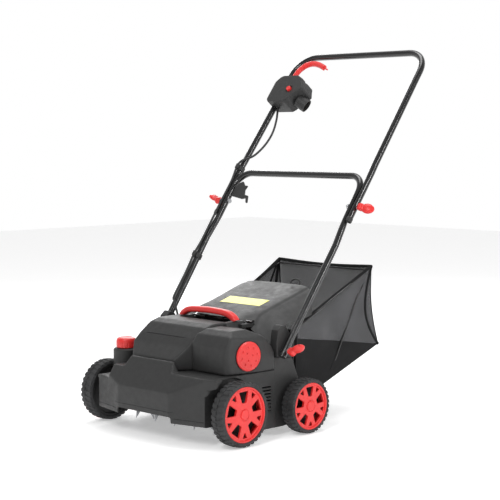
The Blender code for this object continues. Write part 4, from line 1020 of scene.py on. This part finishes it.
class DETHATCHER_OT_depth_knob(bpy.types.Operator):
    """Red depth knob with a fluted skirt"""

    bl_idname = "dethatcher.depth_knob"
    bl_label = "Depth knob"

    def execute(self, context):
        low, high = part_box("depth_knob")
        at = Vector(((low.x + high.x) / 2, (low.y + high.y) / 2, 0.0))
        profile = [(0.0, 0.182), (0.010, 0.182), (0.010, 0.2095), (0.0250, 0.2095),
                   (0.0270, 0.2110), (0.0278, 0.2140), (0.0278, 0.2270), (0.0272, 0.2315),
                   (0.0250, 0.2355), (0.0210, 0.2377), (0.0170, 0.2380), (0.0155, 0.2368),
                   (0.0, 0.2364)]
        knob = lathed("depth_knob_skin", profile, (0, 0, 1), at, 72)
        flutes = []
        for i in range(12):
            turn = 2 * pi * i / 12
            flutes.append(drum("flute", 0.0030, 0.0150, (0, 0, 1),
                               at + Vector((0.0298 * cos(turn), 0.0298 * sin(turn), 0.2170)), 16))
        cut(knob, joined(flutes, "flutes"))
        smooth(knob, 30.0)
        hand_over(knob, "red_plastic", "depth_knob", ["depth_knob"])
        return {"FINISHED"}


# ---- wheels ----
class DETHATCHER_OT_wheels(bpy.types.Operator):
    """Four wheels: block tread tyres and spoked red rims"""

    bl_idname = "dethatcher.wheels"
    bl_label = "Wheels"

    def execute(self, context):
        for end in ("front", "rear"):
            low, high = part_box(end + "_right_wheel_tyre")
            radius, width = (high.z - low.z) / 2, high.x - low.x
            tyre = self.make_tyre(radius, width)
            rim = self.make_rim(radius * 0.845, width)
            core = self.make_core(radius * 0.845, width)
            for side, sign in SIDES:
                body = end + "_" + side + "_wheel"
                low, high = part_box(body + "_tyre")
                inner = Vector((sign * min(abs(low.x), abs(high.x)), (low.y + high.y) / 2,
                                (low.z + high.z) / 2))
                matrix = aimed((sign, 0.0, 0.0), inner)
                piece = smooth(twin(tyre, body + "_tyre_skin", matrix), 30.0)
                hand_over(piece, "tyre", body, [body + "_tyre"])
                piece = even_shading(twin(rim, body + "_rim_skin", matrix), 30.0)
                hand_over(piece, "red_plastic", body, [body + "_rim"])
                piece = smooth(twin(core, body + "_core", matrix), 30.0)
                hand_over(piece, "black_plastic", body)
            for piece in (tyre, rim, core):
                bpy.data.objects.remove(piece, do_unlink=True)
        return {"FINISHED"}

    def make_tyre(self, radius, width):
        """A rounded carcass under two rows of slanted blocks."""
        deep = sizes().tread_depth
        base = radius - deep
        seat = radius * 0.845 + 0.0004
        profile = [(seat, 0.0012), (seat + 0.003, 0.0), (base - 0.0065, 0.0), (base - 0.0030, 0.0012),
                   (base - 0.0008, 0.0040), (base, 0.0090), (base, width - 0.0090),
                   (base - 0.0008, width - 0.0040), (base - 0.0030, width - 0.0012),
                   (base - 0.0065, width), (seat + 0.0030, width), (seat, width - 0.0012)]
        carcass = lathed("carcass", profile, (0, 0, 1), (0, 0, 0), 72)
        count = sizes().tread_blocks
        pitch = 2 * pi * base / count
        blocks = []
        for row, (low, high) in enumerate(((0.0012, width * 0.47), (width * 0.53, width - 0.0012))):
            lug = block("lug", (base - 0.0020, -pitch * 0.31, low), (radius, pitch * 0.31, high))
            lean = 0.22 if row == 0 else -0.22
            outer = 0 if row == 0 else 1
            for vertex in lug.data.vertices:
                vertex.co.y += lean * (vertex.co.z - (low + high) / 2)
                at_side = vertex.co.z > high - 0.001 if outer else vertex.co.z < low + 0.001
                if at_side and vertex.co.x > radius - 0.001:
                    vertex.co.x -= 0.0018
                if at_side and vertex.co.x < base:
                    vertex.co.x -= 0.0045
            bevelled(lug, 0.0007, 1, 40.0)
            for i in range(count):
                turn = 2 * pi * (i + 0.5 * row) / count
                blocks.append(twin(lug, "lug", Matrix.Rotation(turn, 4, "Z")))
            bpy.data.objects.remove(lug, do_unlink=True)
        return joined([carcass] + blocks, "tyre")

    def make_rim(self, radius, width):
        """Red trim: a dished disc with a hub ring, five windows and five small ones between."""
        face = width - 0.0014
        disc = lathed("trim", [
            (0.0, face - 0.0058), (0.0062, face - 0.0058), (0.0062, face - 0.0130),
            (0.0160, face - 0.0130), (0.0160, face - 0.0095), (radius - 0.0036, face - 0.0095),
            (radius - 0.0036, 0.0100), (radius, 0.0100), (radius, face - 0.0010),
            (radius - 0.0008, face), (radius - 0.0030, face), (radius - 0.0046, face - 0.0012),
            (radius - 0.0056, face - 0.0040), (0.0215, face - 0.0028), (0.0165, face - 0.0024),
            (0.0150, face - 0.0036), (0.0140, face - 0.0036), (0.0132, face - 0.0016),
            (0.0118, face - 0.0006), (0.0, face - 0.0004)], (0, 0, 1), (0, 0, 0), 80)
        windows = []
        for inner, outer, half_in, half_out, offset in ((0.43, 0.86, 0.25, 0.27, 0.0),
                                                        (0.66, 0.86, 0.04, 0.135, pi / 5)):
            for i in range(5):
                middle = 2 * pi * i / 5 + 0.35 + offset
                corners = [(inner, -half_in), (outer, -half_out), (outer, half_out), (inner, half_in)]
                outline = [(radius * r * cos(middle + a), radius * r * sin(middle + a))
                           for r, a in corners]
                window = prism("window", outline, "Z", face - 0.014, face + 0.010)
                windows.append(bevelled(window, 0.0022 if inner < 0.5 else 0.0008, 3, 40.0))
        cut_all(disc, windows)
        return bevelled(disc, 0.0006, 2, 50.0)

    def make_core(self, radius, width):
        """Black wheel body behind the trim."""
        face = width - 0.0014
        return lathed("core", [
            (0.0062, 0.0030), (0.0125, 0.0030), (0.0140, 0.0090), (radius - 0.0065, 0.0110),
            (radius - 0.0045, 0.0036), (radius - 0.0036, 0.0030), (radius - 0.0003, 0.0030),
            (radius - 0.0003, 0.0097), (radius - 0.0040, 0.0098), (radius - 0.0040, 0.0135),
            (0.0125, 0.0125), (0.0125, face - 0.0135), (0.0062, face - 0.0135)],
            (0, 0, 1), (0, 0, 0), 64)


class DETHATCHER_OT_axles(bpy.types.Operator):
    """Cranked front axle and the rear stub axles"""

    bl_idname = "dethatcher.axles"
    bl_label = "Axles"

    def execute(self, context):
        low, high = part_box("front_axle")
        swing = joint_place("front_axle_swing")
        wheel = joint_place("front_left_wheel_spin")
        path = [(low.x, wheel.y, wheel.z), (-0.2025, wheel.y, wheel.z), (-0.2025, swing.y, swing.z),
                (0.2025, swing.y, swing.z), (0.2025, wheel.y, wheel.z), (high.x, wheel.y, wheel.z)]
        piece = bent_rod("front_axle_skin", rounded(path, 0.0070, 6), 0.005, 8)
        hand_over(piece, "steel", "front_axle", ["front_axle"])
        for side, sign in SIDES:
            refined("rear_axle_" + side, 0.0006, "deck", "steel", 2, 40.0, 40.0)
        return {"FINISHED"}


# ---- handles ----
def flattened(piece, x_middle, low, high, blend, keep):
    """Press a tube flatter across the machine where the two handles lie side by side."""
    for vertex in piece.data.vertices:
        depth = min(vertex.co.z - low, high - vertex.co.z) / blend
        squeeze = 1.0 - (1.0 - keep) * max(0.0, min(1.0, depth))
        if abs(vertex.co.x) > 0.22:
            middle = x_middle(vertex.co.z) * (1 if vertex.co.x > 0 else -1)
            vertex.co.x = middle + (vertex.co.x - middle) * squeeze


def leg_line(stations):
    """How far out a leg's centre line lies at a height."""
    def at(height):
        if height <= stations[0][1]:
            return stations[0][0]
        for (x0, z0), (x1, z1) in zip(stations, stations[1:]):
            if height <= z1:
                return x0 + (x1 - x0) * (height - z0) / (z1 - z0)
        return stations[-1][0]
    return at


def handle_path(stations, bar, start, direction, radius):
    right = [Vector((x, 0.0, 0.0)) + start + direction * ((z - start.z) / direction.z)
             for x, z in stations]
    left = [Vector((-p.x, p.y, p.z)) for p in reversed(right)]
    corner = stations[-1][0]
    return rounded(right + [(corner, bar.y, bar.z), (-corner, bar.y, bar.z)] + left, radius, 12)


def resampled(path, spacing):
    """More points on the straight runs, so that a tube can be pressed flat there."""
    fine = [path[0]]
    for first, last in zip(path, path[1:]):
        steps = max(1, round((last - first).length / spacing))
        fine += [first.lerp(last, i / steps) for i in range(1, steps + 1)]
    return fine


class DETHATCHER_OT_handles(bpy.types.Operator):
    """Lower and upper handle tubes with their end plugs, bolts and cord hook"""

    bl_idname = "dethatcher.handles"
    bl_label = "Handles"

    def execute(self, context):
        lower = [(0.2490, 0.2130), (0.2490, 0.270), (0.2550, 0.500), (0.2475, 0.566),
                 (0.2475, 0.585), (0.2475, 0.630)]
        path = handle_path(lower, CROSSBAR, LOWER_PIVOT, LEG_DIR, 0.050)
        tube = bent_rod("lower_handle_tube_skin", resampled(path, 0.012), TUBE_R, 8)
        flattened(tube, leg_line(lower), 0.545, 0.658, 0.022, 0.73)
        hand_over(tube, "black_tube", "lower_handle", ["lower_handle_tube"])
        upper = [(0.2625, 0.5650), (0.2625, 0.588), (0.2625, 0.655), (0.2585, 0.720),
                 (0.2545, 0.960)]
        path = handle_path(upper, TOP_BAR, UPPER_PIVOT, BAR_DIR, 0.072)
        tube = bent_rod("upper_handle_tube_skin", resampled(path, 0.012), TUBE_R, 8)
        flattened(tube, leg_line(upper), 0.540, 0.690, 0.030, 0.73)
        hand_over(tube, "black_tube", "upper_handle", ["upper_handle_tube"])
        for side, sign in SIDES:
            self.add_plug(side, sign)
            refined("lower_bolt_" + side, 0.0004, "lower_handle", "steel", 2, 40.0, 40.0)
            refined("upper_bolt_" + side, 0.0004, "upper_handle", "steel", 2, 40.0, 40.0)
            self.add_nut("lower", side, sign, LOWER_PIVOT, 0.2062, "lower_handle")
            self.add_nut("upper", side, sign, UPPER_PIVOT, 0.2365, "upper_handle")
        refined("cord_hook", 0.0010, "lower_handle", "black_plastic")
        refined("cable_clip_lower", 0.0008, "lower_handle", "black_plastic", 2, 40.0, 40.0)
        refined("cable_clip_upper", 0.0008, "upper_handle", "black_plastic", 2, 40.0, 40.0)
        return {"FINISHED"}

    def add_plug(self, side, sign):
        """Black moulded plug over the cut end of an upper handle leg."""
        start = Vector((sign * 0.2625, 0.0, 0.0)) + UPPER_PIVOT + BAR_DIR * (
            (0.5640 - UPPER_PIVOT.z) / BAR_DIR.z)
        plug = lathed("plug", [(0.0, -0.0015), (0.0088, -0.0015), (0.0102, 0.0), (0.0104, 0.0020),
                               (0.0104, 0.0110), (0.0098, 0.0120), (0.0, 0.0120)],
                      BAR_DIR, start, 32)
        plug.name = "handle_end_plug_" + side
        for vertex in plug.data.vertices:
            vertex.co.x = sign * 0.2625 + (vertex.co.x - sign * 0.2625) * 0.76
        hand_over(smooth(plug), "black_plastic", "upper_handle")

    def add_nut(self, which, side, sign, pivot, middle, body):
        """Hexagon nut over the plain inner end of a bolt."""
        at = Vector((sign * middle, pivot.y, pivot.z))
        nut = drum(which + "_nut_" + side, 0.0074, 0.0048, (sign, 0.0, 0.0), at, 6, 0.0006)
        hand_over(smooth(nut, 20.0), "steel", body)


# ---- switch box ----
INLET_AT = Vector((-0.1720, -0.0210, -0.0020))
INLET_DIR = Vector((0.79, -0.26, -0.56)).normalized()


class DETHATCHER_OT_switch_box(bpy.types.Operator):
    """Switch box with its plug inlet, pins, lock button and bail lever"""

    bl_idname = "dethatcher.switch_box"
    bl_label = "Switch box"

    def execute(self, context):
        self.add_half("switch_box_front", 0.00015, 0.034, 14)
        self.add_half("switch_box_back", -0.024, -0.00015, 10)
        refined("plug_inlet", 0.0012, "upper_handle", "black_plastic", 2, 40.0, 36.0)
        refined("inlet_pins", 0.0005, "upper_handle", "brass", 2, 40.0, 40.0)
        self.add_button()
        self.add_bail()
        for i, (across, up) in enumerate(((-0.188, -0.036), (-0.266, -0.036), (-0.262, 0.030),
                                          (-0.170, 0.018))):
            screw = screw_head("switch_screw_%d" % i, in_box(across, up, -0.0240), -BAR_FRONT, 0.0034)
            hand_over(screw, "steel", "upper_handle")
        return {"FINISHED"}

    def add_half(self, node, low, high, passes):
        """Half of the box, rounded away from the parting line, with room for what it holds."""
        outline = [(-0.262, -0.050), (-0.2700, -0.040), (-0.2700, 0.026), (-0.258, 0.044), (-0.248, 0.050),
                   (-0.186, 0.050), (-0.160, 0.036), (-0.150, 0.014), (-0.1435, 0.0005),
                   (-0.1738, -0.0269), (-0.182, -0.042), (-0.194, -0.050)]
        far = 0.060 if low > 0 else -0.060
        full = prism(node + "_skin", outline, "Z", *sorted((high if low > 0 else low, -far)))
        softened(full, 0.0016, passes)
        cut(full, block("half", (-0.30, -0.08, min(far * -2, low if low > 0 else high)),
                        (-0.12, 0.08, max(far * -2, low if low > 0 else high))))
        slope = (0.2545 - 0.2585) / (0.960 - 0.720) * BAR_DIR.z
        tube_x = 0.2585 + slope * ((BOX_AT.z - 0.720) / BAR_DIR.z)
        leg = drum("leg", TUBE_R + 0.0003, 0.2, (-slope, 1.0, 0.0), (-tube_x, 0.0, 0.0), 48)
        inlet = drum("inlet", 0.0218, 0.060, INLET_DIR, INLET_AT + INLET_DIR * 0.030, 48)
        cutters = [leg, inlet, block("lever_room", (-0.250, 0.028, 0.0015), (-0.158, 0.070, 0.0175)),
                   drum("cable_way", 0.0036, 0.030, (0, 1, 0), (-0.236, -0.055, 0.0), 24)]
        if low > 0:
            cutters.append(drum("press", 0.0085, 0.034, (0, 0, 1), (-0.194, -0.004, 0.033), 40))
            cutters.append(drum("press_ring", 0.0125, 0.008, (0, 0, 1), (-0.194, -0.004, 0.0350), 40))
        cut_all(full, cutters)
        frame_turn = Matrix((Vector((1.0, 0.0, 0.0)), BAR_DIR, BAR_FRONT)).transposed().to_4x4()
        full.data.transform(Matrix.Translation(BOX_AT) @ frame_turn)
        even_shading(full, 30.0)
        hand_over(full, "black_plastic", "upper_handle", [node])

    def add_button(self):
        button = lathed("lock_button_skin", [
            (0.0, 0.0240), (0.0078, 0.0240), (0.0078, 0.0375), (0.0074, 0.0393), (0.0062, 0.0405),
            (0.0040, 0.0402), (0.0, 0.0398)], BAR_FRONT, in_box(-0.194, -0.004, 0.0), 40)
        hand_over(smooth(button), "red_plastic", "lock_button", ["lock_button"])

    def add_bail(self):
        points = [(-0.2280, 0.040), (-0.2275, 0.064), (-0.2210, 0.0900), (-0.2035, 0.1090),
                  (-0.181, 0.1150), (-0.152, 0.1100), (-0.120, 0.0960)]
        route = curve_through([in_box(u, v, 0.0095) for u, v in points], 0.005)
        away = (in_box(0.55, -0.83, 0.0) - BOX_AT).normalized()
        lever = bent_rod("bail_lever_skin", route, 0.0081, 5)
        for vertex in lever.data.vertices:
            out = (vertex.co - BOX_AT).dot(BAR_FRONT) - 0.0095
            grow = 0.0066 * (1 if out > 0 else -1) * (abs(out) / 0.0081) ** 0.70
            middle = min(route, key=lambda p: (p - vertex.co).length)
            fuller = max(0.0, (vertex.co - middle).dot(away)) * 0.55
            vertex.co += BAR_FRONT * (grow - out) + away * fuller
        pin = drum("pin", 0.0023, 0.0200, in_box(-0.1035, 0.0875, 0.0) - in_box(-0.1203, 0.0962, 0.0),
                   in_box(-0.1119, 0.0919, 0.0095), 20, 0.0005)
        smooth(joined([lever, pin], "bail_lever_skin"), 38.0)
        hand_over(lever, "red_plastic", "bail_lever", ["bail_lever"])


class DETHATCHER_OT_levers(bpy.types.Operator):
    """Four red quick-release levers"""

    bl_idname = "dethatcher.levers"
    bl_label = "Quick-release levers"

    def execute(self, context):
        for end in ("lower", "upper"):
            for side, sign in SIDES:
                self.add_lever("quick_lever_" + end + "_" + side)
        return {"FINISHED"}

    def add_lever(self, name):
        """Leaf-shaped grip on a round cam head, with a small hole near its tip."""
        node = frame["nodes"][name]
        pin = joint_axis(name + "_turn")
        place_at = joint_place(name + "_turn")
        points = [node.matrix_world @ vertex.co for vertex in node.data.vertices]
        reach = max(points, key=lambda p: (p - place_at).length) - place_at
        middle = sum(points, Vector()) / len(points) - place_at
        along = middle - pin * middle.dot(pin)
        along.normalize()
        length = reach.dot(along)
        head = drum(name + "_skin", 0.0100, 0.0178, (0, 0, 1), (0, 0, 0), 40, 0.0014)
        deselect()
        bpy.ops.mesh.primitive_uv_sphere_add(segments=32, ring_count=20, radius=1.0)
        leaf = bpy.context.object
        for vertex in leaf.data.vertices:
            x, y, z = vertex.co
            reach_x = 0.5 * length + x * 0.5 * length
            full = max(0.0, 1.0 - x * x) ** 0.05
            vertex.co = (reach_x, y * 0.0078 * full, z * 0.0150 * full)
        meet(head, leaf, "UNION")
        cut(head, drum("hole", 0.0022, 0.05, (0, 0, 1), (length * 0.76, 0, 0), 16))
        softened(head, 0.0009, 5)
        across = pin.cross(along)
        head.data.transform(Matrix.Translation(place_at)
                            @ Matrix((along, across, pin)).transposed().to_4x4())
        hand_over(smooth(head, 60.0), "red_plastic", name, [name])


# ---- flap ----
class DETHATCHER_OT_flap(bpy.types.Operator):
    """Rear flap with its sticker and wire grip"""

    bl_idname = "dethatcher.flap"
    bl_label = "Flap"

    def execute(self, context):
        flap = self.make_flap()
        self.add_label(flap)
        # The hinge pin takes the dark powder coat in place of bright steel: painted shade, standing in for the
        # shade between the knuckles.
        pin = frame["nodes"]["flap_pin"]
        pin.data.materials.clear()
        pin.data.materials.append(finish("black_tube"))
        points = [(0.058, 0.408, 0.3778), (0.062, 0.410, 0.388), (0.078, 0.412, 0.3925),
                  (0.092, 0.410, 0.387), (0.095, 0.408, 0.3765)]
        grip = bent_rod("flap_grip_skin", curve_through([spot(*p) for p in points], 0.003), 0.0024, 5)
        hand_over(grip, "black_plastic", "flap", ["flap_grip"])
        return {"FINISHED"}


    def make_flap(self):
        """Smooth moulded sheet with a raised middle, knuckles and notches for the hood's lugs."""
        deselect()
        columns, lines = 96, 48
        bpy.ops.mesh.primitive_grid_add(x_subdivisions=columns, y_subdivisions=lines, size=1.0)
        flap = bpy.context.object
        flap.name = "flap_skin"
        for vertex in flap.data.vertices:
            vertex.co = self.sheet_point(vertex.co.x * 2, vertex.co.y + 0.5)
        modify(flap, "SOLIDIFY", thickness=0.0030, offset=-1.0)
        for x in (-0.090, 0.124):
            cut(flap, block("notch", (x - 0.009, 0.160, 0.200), (x + 0.009, 0.1870, 0.350)))
        knuckles = [drum("knuckle", 0.0062, 0.020, (1, 0, 0), (x + 0.010, 0.1775, 0.2955), 32, 0.0006)
                    for x in (-0.070, 0.0, 0.050)]
        for knuckle in knuckles:
            meet(flap, knuckle, "UNION")
        cut(flap, drum("bore", 0.0033, 0.30, (1, 0, 0), (0.0, 0.1775, 0.2955), 24))
        finished_shell(flap, 38.0)
        return hand_over(flap, "black_plastic", "flap", ["flap"])

    def sheet_point(self, across, back):
        """A point of the flap's top: across -1 to 1, back 0 to 1 from hinge to rear edge."""
        rows = [[self.between(row, abs(across) * 3) for row in FLAP_ROWS]][0]
        x, y, z = self.between(rows, back * 3)
        crease = 0.118 + 0.034 * max(0.0, 1.0 - (y - 0.1705) / 0.050) ** 2
        step = max(0.0, min(1.0, (x - crease) / 0.007))
        z -= 0.0032 * step * step * (3 - 2 * step)
        return (x if across > 0 else -x, y, z)

    def between(self, points, place):
        """A smooth curve through evenly numbered points."""
        points = [Vector(p) for p in points]
        points = [points[0] * 2 - points[1]] + points + [points[-1] * 2 - points[-2]]
        i = min(int(place), len(points) - 4)
        t = place - i
        a, b, c, d = points[i:i + 4]
        return 0.5 * (2 * b + (c - a) * t + (2 * a - 5 * b + 4 * c - d) * t * t
                      + (3 * b - a - 3 * c + d) * t * t * t)

    def add_label(self, flap):
        """Blank sticker pressed onto the flap."""
        low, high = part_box("flap_label")
        deselect()
        bpy.ops.mesh.primitive_grid_add(x_subdivisions=24, y_subdivisions=8, size=1.0)
        label = bpy.context.object
        label.name = "flap_label_skin"
        middle = (low + high) / 2
        for vertex in label.data.vertices:
            vertex.co = (middle.x + vertex.co.x * (high.x - low.x),
                         middle.y + vertex.co.y * (high.y - low.y), high.z + 0.02)
        modify(label, "SHRINKWRAP", target=flap, wrap_method="PROJECT", use_project_z=True,
               use_negative_direction=True, use_positive_direction=False, offset=0.0004)
        modify(label, "SOLIDIFY", thickness=0.0002, offset=1.0)
        hand_over(smooth(label), "yellow_label", "flap", ["flap_label"])


FLAP_ROWS = (
    ((0.0, 0.1705, 0.3020), (0.090, 0.1705, 0.3010), (0.140, 0.1705, 0.2740), (0.198, 0.1705, 0.2400)),
    ((0.0, 0.235, 0.3225), (0.100, 0.235, 0.3210), (0.150, 0.235, 0.3080), (0.198, 0.235, 0.2890)),
    ((0.0, 0.325, 0.3490), (0.104, 0.320, 0.3460), (0.150, 0.310, 0.3310), (0.198, 0.300, 0.3000)),
    ((0.0, 0.418, 0.3765), (0.106, 0.415, 0.3740), (0.150, 0.398, 0.3600), (0.198, 0.345, 0.3120)))


# ---- bag ----
BAG_FLOOR = ((0.2870, 0.0575), (0.6470, 0.1930))
BAG_RIM = ((0.3000, 0.2765), (0.6150, 0.4225))
CORNER = 0.35                             # share of the way round that each side takes


class DETHATCHER_OT_bag(bpy.types.Operator):
    """Collection bag: closed bottom cloth, netting above, bindings and wire frame"""

    bl_idname = "dethatcher.bag"
    bl_label = "Collection bag"

    def execute(self, context):
        cloth = self.wall("bag_cloth_panels", True)
        hand_over(cloth, "bag_fabric", "bag", ["grass_bag"])
        netting = self.wall("bag_netting_panels", False)
        hand_over(netting, "netting", "bag")
        self.add_bindings()
        self.add_frame()
        return {"FINISHED"}

    def surface(self, along, up):
        """A point on the bag's outside.

        along runs 0 to 1 from the front left edge, round the back, to the front right edge;
        up runs 0 to 1 from the floor to the rim.
        """
        half = abs(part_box("grass_bag")[0].x) - 0.0006
        front_low, back_low = (Vector((y, z)) for y, z in BAG_FLOOR)
        front_high, back_high = (Vector((y, z)) for y, z in BAG_RIM)
        sag = sizes().bag_sag
        bow = 0.011 * sin(pi * up)
        if along < CORNER or along > 1 - CORNER:
            side = -1 if along < 0.5 else 1
            back = along / CORNER if side < 0 else (1 - along) / CORNER
            low = front_low.lerp(back_low, back)
            high = front_high.lerp(back_high, back)
            point = low.lerp(high, up)
            loose = sin(pi * back) * sin(pi * min(1.0, up * 1.05)) * sag
            ripple = 0.0022 * sin(back * 17.0 + up * 5.0) * sin(pi * up) * sin(pi * back)
            slack = 0.012 * sin(pi * back) * up ** 4
            x = side * (half - loose + ripple - slack - bow * 0.3 * back ** 3)
            return Vector((x, point.x + AXLE_Y - bow * back ** 4, point.y - slack * 0.6))
        across = (along - CORNER) / (1 - 2 * CORNER)
        point = back_low.lerp(back_high, up)
        edge = max(0.0, 1.0 - min(across, 1 - across) * 6.0) ** 2
        hang = sin(pi * across) * sin(pi * up) * sag * 0.4 + bow * edge
        rim = sin(pi * across) * up ** 3 * 0.006
        x = (half - bow * 0.3 * edge) * (2 * across - 1)
        return Vector((x, point.x + AXLE_Y - hang, point.y - rim))

    def cloth_top(self, along):
        """How far up the closed cloth reaches: less towards the back, a hem behind."""
        back = min(along, 1 - along) / CORNER
        return max(0.03, 0.85 * (1.0 - back))

    def wall(self, name, lower):
        """Sides and back, below or above the cloth's edge; the lower one carries the floor."""
        columns, rows = 120, 24
        deselect()
        bpy.ops.mesh.primitive_grid_add(x_subdivisions=columns, y_subdivisions=rows, size=1.0)
        piece = bpy.context.object
        piece.name = name
        weave = piece.data.uv_layers.active or piece.data.uv_layers.new()
        weave.name = "weave"
        parts = {}
        for vertex in piece.data.vertices:
            along, share = vertex.co.x + 0.5, vertex.co.y + 0.5
            edge = self.cloth_top(along)
            up = edge * share if lower else edge + (1.0 - edge) * share
            parts[vertex.index] = (along * 1.10, up * 0.22)
            vertex.co = self.surface(along, up)
        for loop in piece.data.loops:
            weave.data[loop.index].uv = parts[loop.vertex_index]
        if lower:
            self.add_floor(piece)
        modify(piece, "SOLIDIFY", thickness=0.0012, offset=-1.0)
        return smooth(piece, 50.0)

    def add_floor(self, piece):
        """Floor cloth, sewn to the lower edge of the walls and hanging a little."""
        half = abs(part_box("grass_bag")[0].x) - 0.0014
        deselect()
        bpy.ops.mesh.primitive_grid_add(x_subdivisions=36, y_subdivisions=36, size=1.0)
        floor = bpy.context.object
        weave = floor.data.uv_layers.active or floor.data.uv_layers.new()
        weave.name = "weave"
        places = {}
        for vertex in floor.data.vertices:
            across, back = vertex.co.x, vertex.co.y + 0.5
            places[vertex.index] = (across * 0.38, back * 0.385)
            y = BAG_FLOOR[0][0] + (BAG_FLOOR[1][0] - BAG_FLOOR[0][0]) * back
            z = BAG_FLOOR[0][1] + (BAG_FLOOR[1][1] - BAG_FLOOR[0][1]) * back
            lift = 0.004 * sin(pi * back) * cos(pi * across)
            vertex.co = spot(across * 2 * half, y, z + lift)
        for loop in floor.data.loops:
            weave.data[loop.index].uv = places[loop.vertex_index]
        joined([piece, floor], piece.name)
        edit(piece)
        bpy.ops.mesh.remove_doubles(threshold=0.0001)
        close_edit()

    def add_bindings(self):
        """Folded tape over the rim, the corners, the seam and the mouth."""
        rim = [self.surface(i / 80, 1.0) for i in range(81)]
        self.tape("bag_rim_binding", rim, 0.0048)
        for side, sign in SIDES:
            corner, mouth = (CORNER, 0.0) if sign < 0 else (1 - CORNER, 1.0)
            self.tape("bag_corner_binding_" + side, self.line(corner, 0.0, corner, 1.0), 0.0020)
            inward = [(corner + sign * 0.030 * sin(pi * i / 30), i / 30) for i in range(31)]
            self.tape("bag_corner_strip_" + side, [self.surface(*place) for place in inward], 0.0046)
            self.tape("bag_mouth_binding_" + side, self.line(mouth, 0.0, mouth, 1.0), 0.0036)
            high, low = (CORNER * 0.90, CORNER * 0.42)
            if sign > 0:
                high, low = 1 - high, 1 - low
            self.tape("bag_stay_" + side, self.line(low, 0.10, high, 0.86), 0.0020)
        self.tape("bag_seam", [self.surface(i / 80, self.cloth_top(i / 80)) for i in range(81)], 0.0013)
        self.tape("bag_floor_binding", self.line(CORNER, 0.0, 1 - CORNER, 0.0), 0.0032)

    def line(self, along_a, up_a, along_b, up_b):
        """A path over the bag between two places on its surface."""
        steps = [i / 30 for i in range(31)]
        return [self.surface(along_a + (along_b - along_a) * t, up_a + (up_b - up_a) * t) for t in steps]

    def tape(self, name, path, half):
        hand_over(bent_rod(name, path, half, 2), "binding", "bag")

    def add_frame(self):
        """Wire frame inside the netting."""
        refined("bag_frame", 0.0, "bag", "black_tube", 1, 60.0, 60.0)


# ---- rotor ----
class DETHATCHER_OT_rotor(bpy.types.Operator):
    """Rotor with its blades, seen under the deck"""

    bl_idname = "dethatcher.rotor"
    bl_label = "Rotor"

    def execute(self, context):
        refined("blade_stack", 0.0003, "rotor", "steel", 1, 50.0, 30.0)
        return {"FINISHED"}


OPERATORS = (
    DETHATCHER_OT_stage, DETHATCHER_OT_finishes, DETHATCHER_OT_lead, DETHATCHER_OT_deck,
    DETHATCHER_OT_hood, DETHATCHER_OT_carry_handle, DETHATCHER_OT_depth_knob,
    DETHATCHER_OT_wheels, DETHATCHER_OT_axles, DETHATCHER_OT_handles, DETHATCHER_OT_switch_box,
    DETHATCHER_OT_levers, DETHATCHER_OT_flap, DETHATCHER_OT_bag, DETHATCHER_OT_rotor,
)


class DETHATCHER_PT_panel(bpy.types.Panel):
    """Settings and build steps in the 3D view's sidebar"""

    bl_idname = "DETHATCHER_PT_panel"
    bl_label = "Lawn dethatcher"
    bl_space_type = "VIEW_3D"
    bl_region_type = "UI"
    bl_category = "Dethatcher"

    def draw(self, context):
        for group in (context.scene.dethatcher_sizes, context.scene.dethatcher_colours):
            box = self.layout.box()
            for name in group.__annotations__:
                box.prop(group, name)
        for operator in OPERATORS:
            self.layout.operator(operator.bl_idname)


CLASSES = (DethatcherSizes, DethatcherColours, *OPERATORS, DETHATCHER_PT_panel)


def register():
    for cls in CLASSES:
        bpy.utils.register_class(cls)
    bpy.types.Scene.dethatcher_sizes = PointerProperty(type=DethatcherSizes)
    bpy.types.Scene.dethatcher_colours = PointerProperty(type=DethatcherColours)


def unregister():
    del bpy.types.Scene.dethatcher_colours
    del bpy.types.Scene.dethatcher_sizes
    for cls in reversed(CLASSES):
        bpy.utils.unregister_class(cls)


def main():
    register()
    for operator in OPERATORS:
        group, name = operator.bl_idname.split(".")
        getattr(getattr(bpy.ops, group), name)()
    deselect()


if __name__ == "__main__":
    main()
